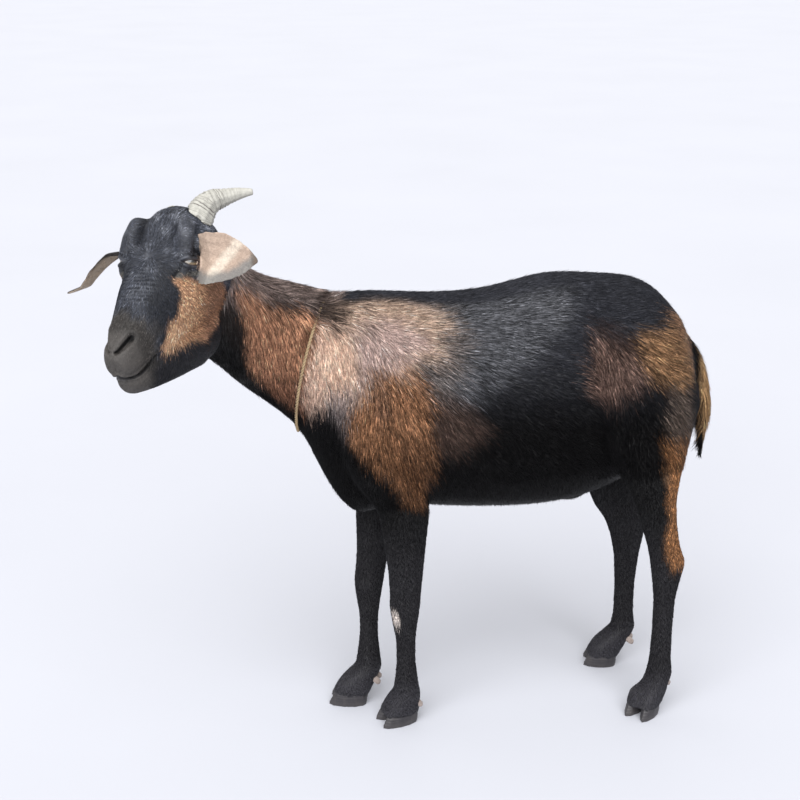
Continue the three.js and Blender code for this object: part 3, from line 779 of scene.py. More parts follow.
hoof_horn, places = new_material("dark_hoof_horn")
upward = add_node(hoof_horn, "SeparateXYZ", Vector=places).outputs["Z"]
upright = [1 / 0.0016, 1 / 0.0016, 1 / 0.010]  # the fibres' width, and the length of their streaks
drawn_out = add_node(hoof_horn, "Mapping", Vector=places, Scale=upright).outputs[0]
fibres = add_node(hoof_horn, "TexNoise", Vector=drawn_out, Scale=1.0, Detail=4.0).outputs["Fac"]
dust = add_node(hoof_horn, "TexNoise", Vector=places, Scale=1 / 0.012, Detail=3.0).outputs["Fac"]
# Slate-grey horn with upright fibres, dusty and paler where the ground wears it.
slate = add_node(hoof_horn, "Mix", COLOURS, _0=fibres, _6="#1a191c", _7="#2f2c30").outputs[2]
worn_edge = add_node(hoof_horn, "MapRange", Value=upward, _1=0.010, _2=0.0, _4=0.7).outputs[0]
slate = add_node(hoof_horn, "Mix", COLOURS, _0=worn_edge, _6=slate, _7="#3c393a").outputs[2]
dusty = add_node(hoof_horn, "MapRange", Value=dust, _1=0.5, _2=0.75, _4=0.35).outputs[0]
slate = add_node(hoof_horn, "Mix", COLOURS, _0=dusty, _6=slate, _7="#474341").outputs[2]
relief = add_node(hoof_horn, "Bump", Height=fibres, Strength=0.35, Distance=0.0004).outputs[0]
shader = add_node(hoof_horn, "BsdfPrincipled", Base_Color=slate, Roughness=0.5, Normal=relief)
finish_material(hoof_horn, shader)

# The dew claws' horn is paler and warmer than the claws', with a fine cloudy grain.
dew_horn, places = new_material("pale_dew_claw_horn")
grain = add_node(dew_horn, "TexNoise", Vector=places, Scale=1 / 0.004, Detail=4.0).outputs["Fac"]
tone = add_node(dew_horn, "Mix", COLOURS, _0=grain, _6="#6f6460", _7="#9c8f88").outputs[2]
finish_material(dew_horn, add_node(dew_horn, "BsdfPrincipled", Base_Color=tone, Roughness=0.5))

for node in [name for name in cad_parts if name.startswith("claw_")]:
    claw = fine_copy(node, "horn_of_" + node, 0.0013, 8)
    points = read_points(claw.data)
    normals = read_normals(claw.data)
    ring = 0.00022 * np.sin(points[:, 2] * 2 * math.pi / 0.0042) * smoothstep(0.9, 0.5, abs(normals[:, 2]))
    points += normals * ring[:, None]
    points[:, 2] = np.maximum(points[:, 2], 0)
    write_points(claw.data, points)
    finish_piece(claw, hoof_horn, "hoof", node)
for node in [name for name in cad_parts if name.startswith("dewclaw_")]:
    finish_piece(fine_copy(node, "pale_" + node, 0.0009, 6), dew_horn, "dew_claw", node)

# ---------------------------------------------------------------- markings
# The hair is black over most of the body, cream to rust on cheeks, neck, shoulders, haunches and
# the backs of the hind legs, and slate grey on the face. Skin and hair take their colour from the
# same functions, so a hair always has the colour of the skin near it.

BLACK = "#0a090a"


def inside(places, outline):
    """How far places in a plane lie inside a closed outline; outside it is negative."""
    closed = np.array([*outline, outline[0]], float)
    nearest = along_line(places, closed)[0]
    within = np.zeros(len(places), bool)
    for start, end in zip(closed[:-1], closed[1:]):
        crosses = (start[1] > places[:, 1]) != (end[1] > places[:, 1])
        with np.errstate(divide="ignore", invalid="ignore"):
            edge = start[0] + (places[:, 1] - start[1]) / (end[1] - start[1]) * (end[0] - start[0])
        within ^= crosses & (places[:, 0] < edge)
    return np.where(within, nearest, -nearest)


# Patches of the coat as seen from the side: colour, the width over which its edge fades, its
# strength, and its outline in metres along and up. Later ones lie over earlier ones.
NECK_TAN = [
    (-0.224, 0.668), (-0.222, 0.634), (-0.221, 0.597), (-0.214, 0.556), (-0.199, 0.534), (-0.182, 0.515),
    (-0.162, 0.497), (-0.146, 0.491), (-0.134, 0.505), (-0.128, 0.560), (-0.124, 0.618), (-0.138, 0.629),
    (-0.159, 0.632), (-0.184, 0.641), (-0.206, 0.657),
]
HIND_STRIPE = [
    (0.352, 0.535), (0.345, 0.478), (0.330, 0.440), (0.342, 0.400), (0.342, 0.385), (0.352, 0.322),
    (0.350, 0.262), (0.362, 0.236), (0.400, 0.240), (0.410, 0.330), (0.405, 0.440), (0.420, 0.540),
]
RUST_OUTLINE = [
    (-0.086, 0.565), (-0.020, 0.575), (0.012, 0.545), (0.020, 0.495), (0.022, 0.430), (0.013, 0.372),
    (-0.002, 0.350), (-0.020, 0.378), (-0.046, 0.418), (-0.076, 0.450), (-0.094, 0.490),
]
PATCHES = [
    ("#76777c", 0.034, 0.6, [  # slate over the flank: grey hairs and a painted sheen
        (0.000, 0.632), (0.060, 0.626), (0.130, 0.634), (0.215, 0.644), (0.200, 0.600), (0.150, 0.562),
        (0.100, 0.530), (0.055, 0.510), (0.010, 0.515),
    ]),
    ("#5a4840", 0.030, 0.8, [  # the brown shade below the flank's grey
        (0.010, 0.540), (0.050, 0.515), (0.085, 0.480), (0.060, 0.455), (0.015, 0.440),
    ]),
    ("#966d50", 0.016, 1.0, RUST_OUTLINE),  # rust down the shoulder
    ("#7b716c", 0.034, 0.7, [  # where the shoulder's colour runs out into the grey
        (0.010, 0.628), (0.045, 0.618), (0.068, 0.590), (0.060, 0.550), (0.030, 0.520), (0.010, 0.530),
    ]),
    ("#b69d8b", 0.034, 0.95, [  # the sandy top of the shoulder
        (-0.112, 0.628), (-0.060, 0.636), (-0.012, 0.634), (0.024, 0.624), (0.040, 0.598), (0.026, 0.566),
        (-0.010, 0.552), (-0.050, 0.548), (-0.085, 0.505), (-0.110, 0.520),
    ]),
    ("#b59e98", 0.018, 0.85, [  # its greyer middle
        (-0.080, 0.600), (-0.050, 0.612), (-0.010, 0.606), (0.015, 0.585), (-0.010, 0.560),
        (-0.045, 0.552), (-0.075, 0.530),
    ]),
    ("#6b574f", 0.016, 0.35, [  # a painted shadow down it, in brown
        (-0.052, 0.556), (-0.034, 0.552), (-0.032, 0.506), (-0.044, 0.486), (-0.056, 0.516),
    ]),
    ("#d6b7a5", 0.010, 1.0, [  # peach beside the cord
        (-0.122, 0.618), (-0.104, 0.612), (-0.092, 0.590), (-0.096, 0.545), (-0.112, 0.512), (-0.134, 0.498),
        (-0.146, 0.500), (-0.142, 0.550), (-0.132, 0.590),
    ]),
    ("#e9c4ae", 0.018, 0.95, [  # cream below it
        (-0.122, 0.604), (-0.096, 0.600), (-0.078, 0.576), (-0.078, 0.548), (-0.086, 0.528), (-0.098, 0.514),
        (-0.118, 0.522), (-0.130, 0.550),
    ]),
    ("#8b807e", 0.012, 0.8, [  # pale grey under the cream
        (-0.118, 0.528), (-0.086, 0.530), (-0.082, 0.500), (-0.092, 0.468), (-0.104, 0.486), (-0.116, 0.504),
    ]),
    ("#3a302c", 0.010, 0.85, [  # dark at the mane's end
        (-0.122, 0.648), (-0.119, 0.616), (-0.106, 0.604), (-0.096, 0.612), (-0.090, 0.632), (-0.080, 0.646),
    ]),
    ("#786056", 0.018, 0.95, [  # pinkish brown on the haunch
        (0.238, 0.592), (0.226, 0.550), (0.230, 0.514), (0.256, 0.500), (0.282, 0.508), (0.302, 0.526),
        (0.334, 0.538), (0.322, 0.558), (0.285, 0.568), (0.262, 0.582),
    ]),
    ("#9b7757", 0.016, 0.95, [  # orange tan behind it
        (0.290, 0.580), (0.322, 0.592), (0.352, 0.594), (0.385, 0.565), (0.385, 0.530), (0.364, 0.508),
        (0.330, 0.518), (0.305, 0.540), (0.294, 0.570),
    ]),
    ("#332521", 0.012, 0.7, [  # the dark line over the haunch
        (0.240, 0.606), (0.262, 0.600), (0.306, 0.572), (0.298, 0.556), (0.262, 0.572),
    ]),
    ("#ad8361", 0.010, 0.8, [  # peach by the tail's root
        (0.352, 0.606), (0.372, 0.594), (0.398, 0.560), (0.392, 0.545), (0.372, 0.566), (0.356, 0.590),
    ]),
    ("#2a1f1c", 0.010, 0.7, [(0.326, 0.526), (0.346, 0.530), (0.350, 0.506), (0.334, 0.500)]),
    ("#6c5e55", 0.014, 0.85, [  # grey brown down the back of the thigh
        (0.346, 0.515), (0.372, 0.515), (0.380, 0.440), (0.346, 0.432), (0.338, 0.470),
    ]),
]
CHEEK_TAN = [  # in millimetres along the nose and up
    (101, 21), (92, 23), (76, 8), (50, -12), (32, -38), (30, -66), (66, -76), (94, -77), (112, -62),
    (131, -57), (153, -46), (163, -33), (148, -27), (138, -14), (122, -5), (108, 8),
]
EAR_LINE = {  # in the head's millimetres
    "ear_left": [(42, 44, 14), (91.5, 151, 42)],
    "ear_right": [(34, -42, 6), (75, -160, -19)],
}
EAR_BANDS = {  # out of the head and up
    "ear_left": [(72, 13), (98, 36), (124, 59)],
    "ear_right": [(-92, 17), (-112, 4), (-128, -10), (-150, -17)],
}
EAR_LOWER_EDGE = [(52, 9), (60, 11), (85, 14), (108, 19), (122, 26), (143, 38), (152, 46)]
EAR_INNER = {"ear_left": (0.804, -0.283, 0.524), "ear_right": (0.45, 0.45, -0.66)}
EAR_TONES = {  # inside, on the pale bands, and outside; the right ear's darker tones are a painted shade
    "ear_left": ("#ad998a", "#d1c5b6", "#4b3f3a"),
    "ear_right": ("#6f6155", "#b0a08e", "#1d1817"),
}


def coat_colour(places, normals, names):
    """The hair's colour at places on the named parts, as linear values."""
    side_view = places[:, [0, 2]]
    ragged = cloud_field(places, 0.024, 5) * 0.007 + cloud_field(places * [1, 1, 0.4], 0.007, 6) * 0.003
    up = places[:, 2]
    along, left, head_up = on_head(places).T
    colour = np.tile(linear(BLACK), (len(places), 1))
    trunk, neck, head, tail = (names == name for name in ("trunk", "neck", "head", "tail"))
    legs = np.char.find(names, "leg_") > 0

    def paint(hex_colour, share):
        colour[:] = colour + (np.array(linear(hex_colour)) - colour) * np.clip(share, 0, 1)[:, None]

    def patch(outline, fade, edge=ragged):
        return smoothstep(-fade / 2, fade / 2, inside(side_view, outline) + edge)

    facing_up = smoothstep(0.75, 0.95, normals[:, 2])
    # Higher on the trunk the black turns slate: partly the coat's own tone, partly a painted sheen where
    # light falls on the back.
    paint("#35363c", trunk * smoothstep(0.46, 0.60, up))
    paint("#2a2422", neck * 1.0)
    crest = smoothstep(-0.010, 0.012, up - 0.640 + 0.28 * (places[:, 0] + 0.17) + ragged)
    paint("#776863", neck * crest)
    paint("#b3a29b", 0.65 * neck * crest * smoothstep(-0.4, 0.7, cloud_field(places, 0.010, 41)))
    paint("#ad8065", neck * patch(NECK_TAN, 0.014))
    paint("#7c5543", 0.8 * neck * patch(NECK_TAN, 0.02) * smoothstep(0.58, 0.51, up))
    # Where the neck faces down it is painted black: the throat's black coat and a painted shade under the
    # neck.
    paint(BLACK, neck * smoothstep(0.0, -0.5, normals[:, 2]) * (1 - patch(NECK_TAN, 0.014)))
    for hex_colour, fade, strength, outline in PATCHES:
        paint(hex_colour, (trunk | neck) * strength * patch(outline, fade) * (1 - facing_up))
    paint("#5f412c", 0.75 * trunk * patch(RUST_OUTLINE, 0.016) * smoothstep(0.485, 0.42, up))

    # The legs, with the stripe down the back of the hind ones and the white spot on the left knee.
    outer = smoothstep(-0.6, 0.1, normals[:, 1] * np.sign(places[:, 1] - MIDLINE))
    stripe = patch(HIND_STRIPE, 0.014, ragged * 0.6) * outer
    hind = np.char.find(names, "hindleg") == 0
    paint("#835c3d", (hind + trunk * smoothstep(0.455, 0.43, up)) * stripe)
    greyer = smoothstep(0.36, 0.39, up) * smoothstep(0.352, 0.338, places[:, 0]) * hind
    paint("#4d4840", 0.6 * greyer * stripe)
    paint("#252427", legs * smoothstep(0.36, 0.24, up) * (1 - stripe * hind))
    # Low on the legs the hair is a lighter bluish grey: a painted sheen on the pasterns.
    paint("#3a393f", 0.8 * legs * smoothstep(0.09, 0.03, up))
    knee = np.linalg.norm((places - [-0.0255, 0.004, 0.178]) / [1, 1, 1.7], axis=1)
    paint("#cfc4bd", (names == "foreleg_left") * smoothstep(0.011, 0.007, knee + ragged * 0.2))

    # The face: slate, with rows over the nose whose crests have a painted highlight and whose troughs a
    # painted shade, and a painted shade in the furrow by each brow.
    face = np.column_stack((along, left, head_up))
    paint("#464952", head * 1.0)
    wave, rows = nose_rows(face)
    # Painted highlight on the rows' crests and painted shade in their troughs.
    paint("#6c6f78", 0.65 * head * rows * smoothstep(0.3, 0.95, wave))
    paint("#2a2d34", 0.6 * head * rows * smoothstep(-0.1, -0.9, wave))
    mottle = cloud_field(places, 0.012, 61)
    paint("#2c2e35", 0.55 * head * smoothstep(0.0, 0.8, mottle))
    paint("#7c7f88", 0.6 * head * smoothstep(0.0, 0.8, -mottle) * smoothstep(20, 40, head_up))
    # Painted shade in the furrow inside each brow: strong on the right side, weak on the left.
    furrow_shade = swelling(abs(left) - 24, 5.5) * swelling(along - 56, 24) * (head_up > 30)
    paint("#121318", head * furrow_shade * np.where(left < 0, 0.9, 0.35))
    beside_nose = smoothstep(14, 24, abs(left)) * smoothstep(168, 150, along) * smoothstep(84, 100, along)
    paint("#22242a", 0.85 * head * beside_nose)
    paint("#43403e", head * smoothstep(152, 172, along + ragged * 1200))
    paint("#26262a", head * smoothstep(-40, -58, head_up) * smoothstep(196, 172, along))
    in_cheek = inside(np.column_stack((along, head_up)), CHEEK_TAN)
    cheek = head * smoothstep(-4, 5, in_cheek + ragged * 800) * smoothstep(13, 20, abs(left))
    paint("#a57e61", cheek)
    paint("#d2aa8a", 0.8 * cheek * swelling(along - 138, 26) * swelling(head_up + 38, 18))
    paint("#c89d7d", 0.7 * cheek * swelling(along - 104, 20) * swelling(head_up + 6, 22))
    paint("#785747", 0.7 * cheek * smoothstep(80, 50, along + 0.4 * head_up))
    mirrored = both_sides(face)
    under_eye = along_line(mirrored, [(98.7, 37.9, 25.4), (90.1, 47.5, 22.8), (74.8, 51.6, 14)])[0]
    paint("#74726d", 0.8 * head * smoothstep(5, 2, under_eye))
    # Painted shade inside the nostrils' slits.
    from_nostril, nostril_share = from_nostrils(face)
    paint("#0b0b0c", head * smoothstep(1.2, -0.6, from_nostril - 1.3 - 2.2 * (1 - nostril_share)))
    # Along the mouth: dark lips and a painted shade between them.
    paint("#141315", head * smoothstep(4.0, 2.2, along_line(mirrored, MOUTH)[0]))
    # Painted shade round the top of each eye, under the brow.
    to_eye = np.linalg.norm(mirrored - (74, 42, 27), axis=1)
    paint("#232326", 0.7 * head * smoothstep(22, 16, to_eye) * smoothstep(0, 8, head_up - 22))
    # Painted shade in the groove before each eye.
    paint("#161618", 0.9 * head * smoothstep(4, 1.5, along_line(mirrored, TEAR_LINE)[0]))

    # The ears are pale inside, with paler bands along them, and dark outside. The right ear's tones are
    # darker, and away from its bands it is painted dark inside too: painted shade on that ear.
    for name, (inside_tone, band_tone, outside_tone) in EAR_TONES.items():
        here = names == name
        inner = smoothstep(-0.1, 0.3, normals @ (np.array(EAR_INNER[name]) @ HEAD_AXES))
        paint(outside_tone, here * 1.0)
        paint(inside_tone, here * inner)
        band = along_line(face[:, 1:], EAR_BANDS[name])[0]
        # On the right ear, away from its bands, the inside is painted dark as well: painted shade.
        paint(outside_tone, 0.9 * here * (name == "ear_right") * smoothstep(4, 8, band))
        paint(band_tone, 0.85 * here * inner * smoothstep(9, 3, band + 1.5 * cloud_field(places, 0.005, 3)))
    left_ear = names == "ear_left"
    rim = along_line(face[:, 1:], EAR_LOWER_EDGE)[0] + 1.5 * cloud_field(places, 0.008, 3)
    paint("#777674", 0.9 * left_ear * smoothstep(11, 4, rim))
    paint("#5d5148", left_ear * smoothstep(138, 148, left + 2 * cloud_field(places, 0.006, 4)))

    from_front = places[:, 0] - 0.417 + 0.16 * (up - 0.487)
    rear = smoothstep(-0.002, 0.003, from_front) * smoothstep(0.405, 0.435, up) * smoothstep(0.57, 0.53, up)
    paint("#b08d66", 0.9 * tail * rear)
    return colour


# Where the skin is bare, on the ears, round the eyes and at the nose, it has the coat's full tone.
points = read_points(skin.data)
names_of = PART_NAMES[part_of]
skin_colour = coat_colour(points, read_normals(skin.data), names_of)
bare = np.maximum(smoothstep(-2.5, -0.8, from_lids), np.isin(names_of, ["ear_left", "ear_right"]))
bare = np.maximum(bare, (names_of == "head") * smoothstep(183, 196, on_head(points)[:, 0]))
write_colours(skin.data, skin_colour * (0.45 + 0.5 * bare)[:, None])

# Skin, dark in the hair's own tone, with a leathery grain on the muzzle and lids where it is bare.
goat_skin, places = new_material("goat_skin")
tint = add_node(goat_skin, "Attribute", {"attribute_name": "hair_colour"}).outputs["Color"]
mottled = add_node(goat_skin, "TexNoise", Vector=places, Scale=1 / 0.003, Detail=4.0).outputs["Fac"]
shade = add_node(goat_skin, "MapRange", Value=mottled, _1=0.3, _2=0.7, _3=0.8, _4=1.15).outputs[0]
tone = add_node(goat_skin, "VectorMath", {"operation": "SCALE"}, _0=tint, Scale=shade).outputs[0]
pores = add_node(goat_skin, "TexNoise", Vector=places, Scale=1 / 0.0011, Detail=4.0).outputs["Fac"]
relief = add_node(goat_skin, "Bump", Height=pores, Strength=0.9, Distance=0.0006).outputs[0]
shader = add_node(
    goat_skin, "BsdfPrincipled", Base_Color=tone, Roughness=0.5, Specular_IOR_Level=0.25, Normal=relief
)
finish_material(goat_skin, shader)
finish_piece(skin, goat_skin, "body_coat", *FLESH)

# ---------------------------------------------------------------- coat
# Short glossy hair that lies flat, in fine pointed strands. A strand is a solid three-sided
# sliver, rooted in the skin and laid along it, so that it shows from every side.


def unwrapped(piece):
    """Unwraps a piece and gives the map's place at each corner of its faces."""
    select_only(piece)
    bpy.ops.object.mode_set(mode="EDIT")
    bpy.ops.mesh.select_all(action="SELECT")
    bpy.ops.uv.smart_project(angle_limit=math.radians(66), island_margin=0.002)
    bpy.ops.object.mode_set(mode="OBJECT")
    return read_rows(piece.data.uv_layers.active.data, "uv", 2)


def flat_on(vectors, normals):
    """Vectors laid into the skin's plane."""
    return unit(vectors - dot(vectors, normals)[:, None] * normals)


SHOULDER_WHORL = np.array([-0.062, 0.612])  # along and up: the hair fans out from here
HIP_WHORL = np.array([0.250, 0.605])
WITHERS = np.array([-0.10, MIDLINE, 0.62])
FACE_WHORL = from_head((88, 0, 45))
TAIL_END = 0.380  # the height that its hair reaches down to
TAIL_TIPS = np.array([(0.411, MIDLINE - 0.002, 0.376), (0.431, MIDLINE - 0.004, 0.364)])


def fan(places, whorl):
    """The way the hair lies round a whorl on the flank: down before it, and back and down behind."""
    back = np.maximum(places[:, 0] - whorl[0], 0.010)
    fall = np.maximum(whorl[1] - places[:, 2], 0.004) + 0.10 * back
    return unit(np.column_stack((back, np.zeros(len(places)), -fall)))


def lie_of_coat(places, normals, names):
    """The way the hair points at places on the skin of the named parts."""
    along, left = on_head(places)[:, :2].T
    turn = smoothstep(0.195, 0.240, places[:, 0] + 0.25 * (places[:, 2] - 0.60))[:, None]
    trunk = fan(places, SHOULDER_WHORL) * (1 - turn) + fan(places, HIP_WHORL) * turn
    legs = np.array([0.12, 0, -1]) + 0 * places
    leg_share = smoothstep(0.42, 0.36, places[:, 2])[:, None]
    way = unit(trunk) * (1 - leg_share) + unit(legs) * leg_share
    way = np.where((np.char.find(names, "leg_") > 0)[:, None], unit(legs), way)
    crest = smoothstep(0.1, 0.8, normals[:, 2])[:, None]
    down_neck = unit(WITHERS - POLL) * crest + np.array([0.16, 0, -1]) * (1 - crest)
    way = np.where((names == "neck")[:, None], down_neck, way)
    face = unit(places - FACE_WHORL)
    back_share = (smoothstep(14, 34, abs(left)) * smoothstep(150, 60, along))[:, None]
    cheek = unit(-0.55 * NOSEWARD - 0.8 * HEAD_UP)
    way = np.where((names == "head")[:, None], face * (1 - back_share) + cheek * back_share, way)
    for name, line in EAR_LINE.items():
        root, tip = from_head(line[0]), from_head(line[-1])
        way = np.where((names == name)[:, None], unit(tip - root) + 0.5 * unit(places - root), way)
    # Low on the tail the hair parts into a thin tip before and a thick one behind.
    tip = np.where((normals[:, 0] < -0.2)[:, None], TAIL_TIPS[0], TAIL_TIPS[1])
    to_tip = smoothstep(0.50, 0.44, places[:, 2])[:, None]
    to_end = (tip - places) * [1, 1, 0] + [0, 0, -1] * np.maximum(places[:, 2:] - tip[:, 2:], 0.035)
    down_tail = unit(to_end) * to_tip + np.array([0.1, 0, -1]) * (1 - to_tip)
    way = flat_on(np.where((names == "tail")[:, None], down_tail, way), normals)
    swing = cloud_field(places, 0.035, 11) * 0.16 + cloud_field(places, 0.011, 12) * 0.14
    return unit(way + np.cross(normals, way) * swing[:, None])


# For each part: strands per square centimetre, and a strand's length, width, and its tip's height
# over the skin, in millimetres.
COAT = {
    "trunk": (42, 17.5, 1.1, 2.4),
    "neck": (42, 15.5, 1.0, 2.5),
    "head": (50, 5.6, 0.65, 0.6),
    "tail": (38, 26, 1.2, 4.0),
    "foreleg_left": (30, 8, 1.0, 1.1),
    "foreleg_right": (30, 8, 1.0, 1.1),
    "hindleg_left": (30, 8.5, 1.0, 1.1),
    "hindleg_right": (30, 8.5, 1.0, 1.1),
    "ear_left": (50, 3.2, 0.4, 0.15),
    "ear_right": (50, 3.2, 0.4, 0.15),
}
dice = np.random.default_rng(20)

skin_map = unwrapped(skin)
normals = read_normals(skin.data)
triangles = read_triangles(skin.data)
corner_loops = read_triangles(skin.data, "loops")
first_edge = points[triangles[:, 1]] - points[triangles[:, 0]]
areas = np.linalg.norm(np.cross(first_edge, points[triangles[:, 2]] - points[triangles[:, 0]]), axis=1) / 2

# No hair grows on the eyes, in the nostrils or on the lips' edges.
face = on_head(points)
hairless = from_lids > -1.7
hairless |= (from_nostrils(face)[0] < 2.9) | (along_line(both_sides(face), MOUTH)[0] < 2.0)
coat_of = np.array([COAT[name] for name in FLESH])[part_of[triangles[:, 0]]]
density = coat_of[:, 0] * 1e4 * ~hairless[triangles].any(axis=1)
heap = np.cumsum(areas * density)
count = int(heap[-1])
chosen = np.searchsorted(heap, (np.arange(count) + dice.random(count)) / count * heap[-1])
chosen = np.minimum(chosen, len(triangles) - 1)
first, second = np.sort(dice.random((2, count)), axis=0)
mix = np.stack((first, second - first, 1 - second), axis=1)
roots = np.einsum("nk,nkd->nd", mix, points[triangles[chosen]])
root_normals = unit(np.einsum("nk,nkd->nd", mix, normals[triangles[chosen]]))
root_places = np.einsum("nk,nkd->nd", mix, skin_map[corner_loops[chosen]])
root_names = names_of[triangles[chosen, 0]]
root_along, root_left, root_up = on_head(roots).T

skin_tree = BVHTree.FromPolygons(points.tolist(), triangles.tolist())


def laid_on_skin(places, heights):
    """Places moved to a height over the nearest skin."""
    laid = np.empty_like(places)
    for i, place in enumerate(places.tolist()):
        spot, normal = skin_tree.find_nearest(place)[:2]
        laid[i] = spot + normal * heights[i]
    return laid


length, width, height = coat_of[chosen, 1:].T / 1000
on_face = root_names == "head"
growth = np.ones(count)
growth -= on_face * 0.62 * smoothstep(165, 195, root_along)
growth += on_face * 0.5 * smoothstep(45, 20, root_along)
growth += on_face * 0.35 * smoothstep(-30, -60, root_up) * smoothstep(190, 160, root_along)
growth -= 0.25 * smoothstep(FOOT_TOP, FOOT_TOP - 0.03, roots[:, 2])
length = length * growth * dice.uniform(0.7, 1.25, count)
width = width * np.sqrt(growth) * dice.uniform(0.7, 1.25, count)
height = height * growth * dice.uniform(0.35, 1.35, count)
# A few strands stand out more, as they do on a live coat.
height *= np.where(dice.random(count) < 0.05, 1.7, 1)
# The mane before the cord lies over it.
near_withers = (roots[:, 2] > CORD_TOP - 0.045) & (roots[:, 0] > -0.17)
by_cord = np.flatnonzero((root_names == "neck") & near_withers)
from_cord = cord_distance(roots[by_cord])
by_cord, from_cord = by_cord[from_cord < 0.020], from_cord[from_cord < 0.020]
length[by_cord] = from_cord + 0.005 + 0.007 * dice.random(len(by_cord))
height[by_cord] = 0.0050 * dice.uniform(0.5, 1.2, len(by_cord))

ways = lie_of_coat(roots, root_normals, root_names)
ways = flat_on(ways + dice.normal(0, 0.09, (count, 3)), root_normals)
across = np.cross(root_normals, ways)
tips = laid_on_skin(roots + ways * length[:, None], height)
hanging = root_names == "tail"
tips[hanging] = (roots + ways * length[:, None] + root_normals * (height * 0.4)[:, None])[hanging]
# The tail's hair ends where its two tips end.
past_end = np.clip((TAIL_END - tips[:, 2]) / np.maximum(roots[:, 2] - tips[:, 2], 0.001), 0, 0.8)
tips -= (tips - roots) * (past_end * hanging)[:, None] * dice.uniform(0.75, 1, count)[:, None]
half = across * (width / 2)[:, None]
low = roots - root_normals * (width * 0.25)[:, None]
ridge = roots + root_normals * (width * 0.3)[:, None]
strand_points = np.stack((low - half, low + half, ridge, tips), axis=1)
STRAND_FACES = np.array([(0, 2, 1), (0, 1, 3), (1, 2, 3), (2, 0, 3)])
STRAND_MAP = np.array([(-1, -1), (1, -1), (0, -0.6), (0, 1)]) * 0.0015
STRAND_TONE = np.array([0.72, 0.72, 0.95, 1.3])

# A strand's colour is that of a place near its root, so the patches run into each other along the
# hair. Dark undercoat shows between the pale strands, and the strands' tones differ.
spread = np.clip(length / 0.0175, 0.25, 1)
jitter = ways * (dice.normal(0, 0.009, count) * spread)[:, None]
jitter += across * (dice.normal(0, 0.0035, count) * spread)[:, None]
strand_colour = coat_colour(roots + jitter, root_normals, root_names)
lightness = strand_colour.mean(axis=1)
body = np.isin(root_names, ["trunk", "neck"])
scatter = np.where(body, 0.34, 0.36) * smoothstep(0.005, 0.12, lightness) + 0.14
scatter *= 1 - 0.5 * smoothstep(0.25, 0.5, lightness)
scatter *= np.where(np.char.find(root_names, "ear_") == 0, 0.4, 1)
clumps = cloud_field(roots, 0.006, 71) * 0.22 + cloud_field(roots, 0.018, 72) * 0.10
strand_colour *= np.exp(dice.normal(0, 1, count) * scatter + clumps * (0.4 + 0.6 * body))[:, None]
under = dice.random(count) < 0.30 * smoothstep(0.025, 0.08, lightness) * smoothstep(0.40, 0.12, lightness)
under &= body | (on_face & (root_left < 20))
strand_colour[under] *= 0.25
frosted_and_sheen = on_face & (dice.random(count) < 0.13)
strand_colour[frosted_and_sheen] *= 2.1
# Grey strands high on the black body: a painted sheen.
frosted_and_sheen = body & (lightness < 0.03) & (roots[:, 2] > 0.52) & (dice.random(count) < 0.10)
strand_colour[frosted_and_sheen] += 0.05

# Glossy hair: it shines softly along the back, and its depth comes from the strands' own shadows.
glossy_hair, places = new_material("glossy_goat_hair")
tint = add_node(glossy_hair, "Attribute", {"attribute_name": "hair_colour"}).outputs["Color"]
streak = add_node(glossy_hair, "TexNoise", Vector=places, Scale=1 / 0.0016, Detail=2.0).outputs["Fac"]
shade = add_node(glossy_hair, "MapRange", Value=streak, _1=0.3, _2=0.7, _3=0.8, _4=1.2).outputs[0]
tone = add_node(glossy_hair, "VectorMath", {"operation": "SCALE"}, _0=tint, Scale=shade).outputs[0]
shader = add_node(
    glossy_hair, "BsdfPrincipled", Base_Color=tone, Roughness=0.46, Specular_IOR_Level=0.14
)
finish_material(glossy_hair, shader)


def add_strands(name, picked):
    """A piece of coat made of the picked strands."""
    picked = np.flatnonzero(picked)
    mesh = bpy.data.meshes.new(name)
    faces = (STRAND_FACES[None] + np.arange(len(picked))[:, None, None] * 4).reshape(-1, 3)
    mesh.vertices.add(len(picked) * 4)
    mesh.loops.add(len(faces) * 3)
    mesh.polygons.add(len(faces))
    mesh.vertices.foreach_set("co", strand_points[picked].astype(np.float32).ravel())
    mesh.loops.foreach_set("vertex_index", faces.astype(np.int32).ravel())
    mesh.polygons.foreach_set("loop_start", np.arange(0, len(faces) * 3, 3, dtype=np.int32))
    mesh.polygons.foreach_set("use_smooth", np.ones(len(faces), bool))
    layer = mesh.uv_layers.new(name="OFBake")
    places = (root_places[picked][:, None] + STRAND_MAP[None]).reshape(-1, 2)
    layer.data.foreach_set("uv", places[faces.ravel()].astype(np.float32).ravel())
    mesh.update(calc_edges=True)
    mesh.validate()
    toned = np.clip(strand_colour[picked][:, None] * STRAND_TONE[None, :, None], 0, 1)
    write_colours(mesh, toned.reshape(-1, 3))
    mesh.materials.append(glossy_hair)
    piece = put_in_scene(name, mesh)
    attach(piece, "root")


# The trunk's coat is made in three pieces on each side, so that none has too many strands.
stretches = [("fore", -1, 0.055), ("middle", 0.055, 0.215), ("hind", 0.215, 1)]
for side, here in (("left", roots[:, 1] < MIDLINE), ("right", roots[:, 1] >= MIDLINE)):
    for name, begins, ends in stretches:
        within = (root_names == "trunk") & (roots[:, 0] >= begins) & (roots[:, 0] < ends)
        add_strands("coat_" + name + "_" + side, within & here)
add_strands("coat_neck", root_names == "neck")
add_strands("coat_head", on_face)
add_strands("coat_ears", np.char.find(root_names, "ear_") == 0)
add_strands("coat_forelegs", np.char.find(root_names, "foreleg") == 0)
add_strands("coat_hindlegs", np.char.find(root_names, "hindleg") == 0)
add_strands("coat_tail", root_names == "tail")

# ---------------------------------------------------------------- neck cord
# A pale two-ply rope tied round the root of the neck: tight over the withers, where the mane
# covers it, and slacker under the throat. Its plies are laid round the cord solid's middle line.

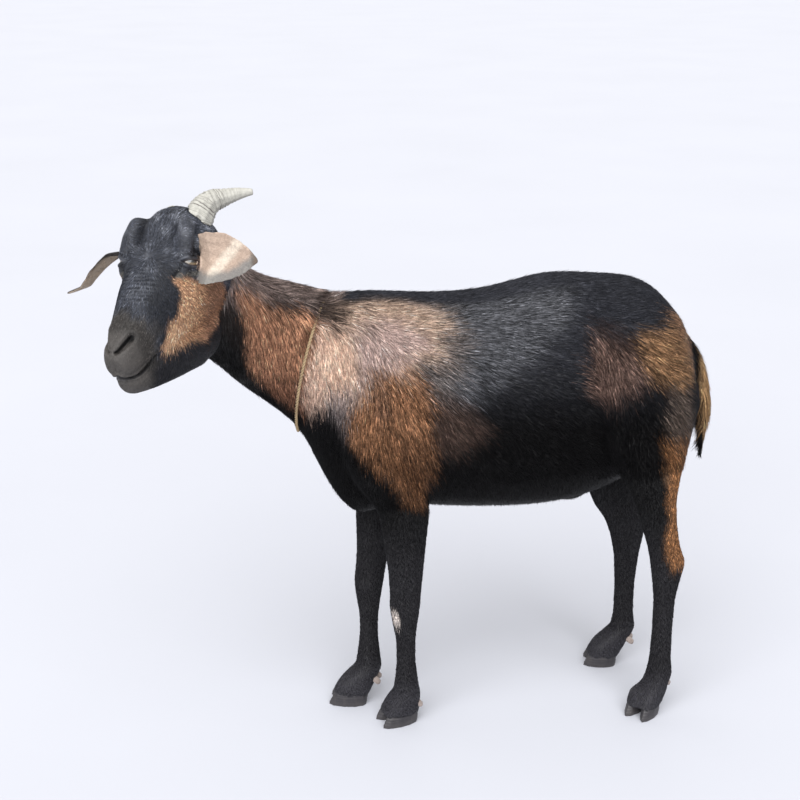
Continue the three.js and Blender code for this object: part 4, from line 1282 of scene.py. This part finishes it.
PLY_RADIUS = 0.00108
PLY_OFFSET = 0.00100
PLY_TURN = 0.0095  # along the rope for one turn
hub = solid_cord.mean(axis=0)
_, _, plane = np.linalg.svd(solid_cord - hub, full_matrices=False)
flat = (solid_cord - hub) @ plane[:2].T
angles = np.arctan2(flat[:, 1], flat[:, 0])
turn = np.linspace(-math.pi, math.pi, 960, endpoint=False)
gap = (angles[None] - turn[:, None] + math.pi) % (2 * math.pi) - math.pi
weight = np.exp(-((gap / 0.085) ** 2) / 2)
middle_line = weight @ solid_cord / weight.sum(axis=1, keepdims=True)
for _ in range(20):
    middle_line = (np.roll(middle_line, 1, axis=0) + middle_line + np.roll(middle_line, -1, axis=0)) / 3
# At the top it is pressed into the coat.
middle_line -= unit(middle_line - hub) * (0.0072 * pressed_share(middle_line[:, 2]))[:, None]
forward = unit(np.roll(middle_line, -1, axis=0) - np.roll(middle_line, 1, axis=0))
outward = unit(middle_line - hub)
outward = unit(outward - dot(outward, forward)[:, None] * forward)
sideways = np.cross(forward, outward)
steps = np.linalg.norm(np.roll(middle_line, -1, axis=0) - middle_line, axis=1)
turns = round(steps.sum() / PLY_TURN)
twist = np.concatenate(([0], np.cumsum(steps)[:-1])) / steps.sum() * turns * 2 * math.pi

# Jute-coloured yarn: the fibres' fine streaks and the dirt between the plies give its look.
rope_yarn, places = new_material("pale_rope_yarn")
yarn_fibres = add_node(rope_yarn, "TexNoise", Vector=places, Scale=1 / 0.0007, Detail=4.0).outputs["Fac"]
stain = add_node(rope_yarn, "TexNoise", Vector=places, Scale=1 / 0.02, Detail=3.0).outputs["Fac"]
yarn = add_node(rope_yarn, "Mix", COLOURS, _0=yarn_fibres, _6="#7d684c", _7="#a89474").outputs[2]
stained = add_node(rope_yarn, "MapRange", Value=stain, _1=0.45, _2=0.75, _4=0.4).outputs[0]
yarn = add_node(rope_yarn, "Mix", COLOURS, _0=stained, _6=yarn, _7="#5f4c38").outputs[2]
relief = add_node(rope_yarn, "Bump", Height=yarn_fibres, Strength=0.5, Distance=0.0003).outputs[0]
shader = add_node(rope_yarn, "BsdfPrincipled", Base_Color=yarn, Roughness=0.85, Normal=relief)
finish_material(rope_yarn, shader)

plies = []
for start in (0, math.pi):
    round_line = np.cos(twist + start)[:, None] * outward + np.sin(twist + start)[:, None] * sideways
    plies.append(loop_roll("rope_ply", middle_line + round_line * PLY_OFFSET, round_line, PLY_RADIUS, 8))
select_only(*plies)
bpy.ops.object.join()
rope = bpy.context.object
rope.name = "twisted_neck_cord"
finish_piece(rope, rope_yarn, "cord", "neck_cord")
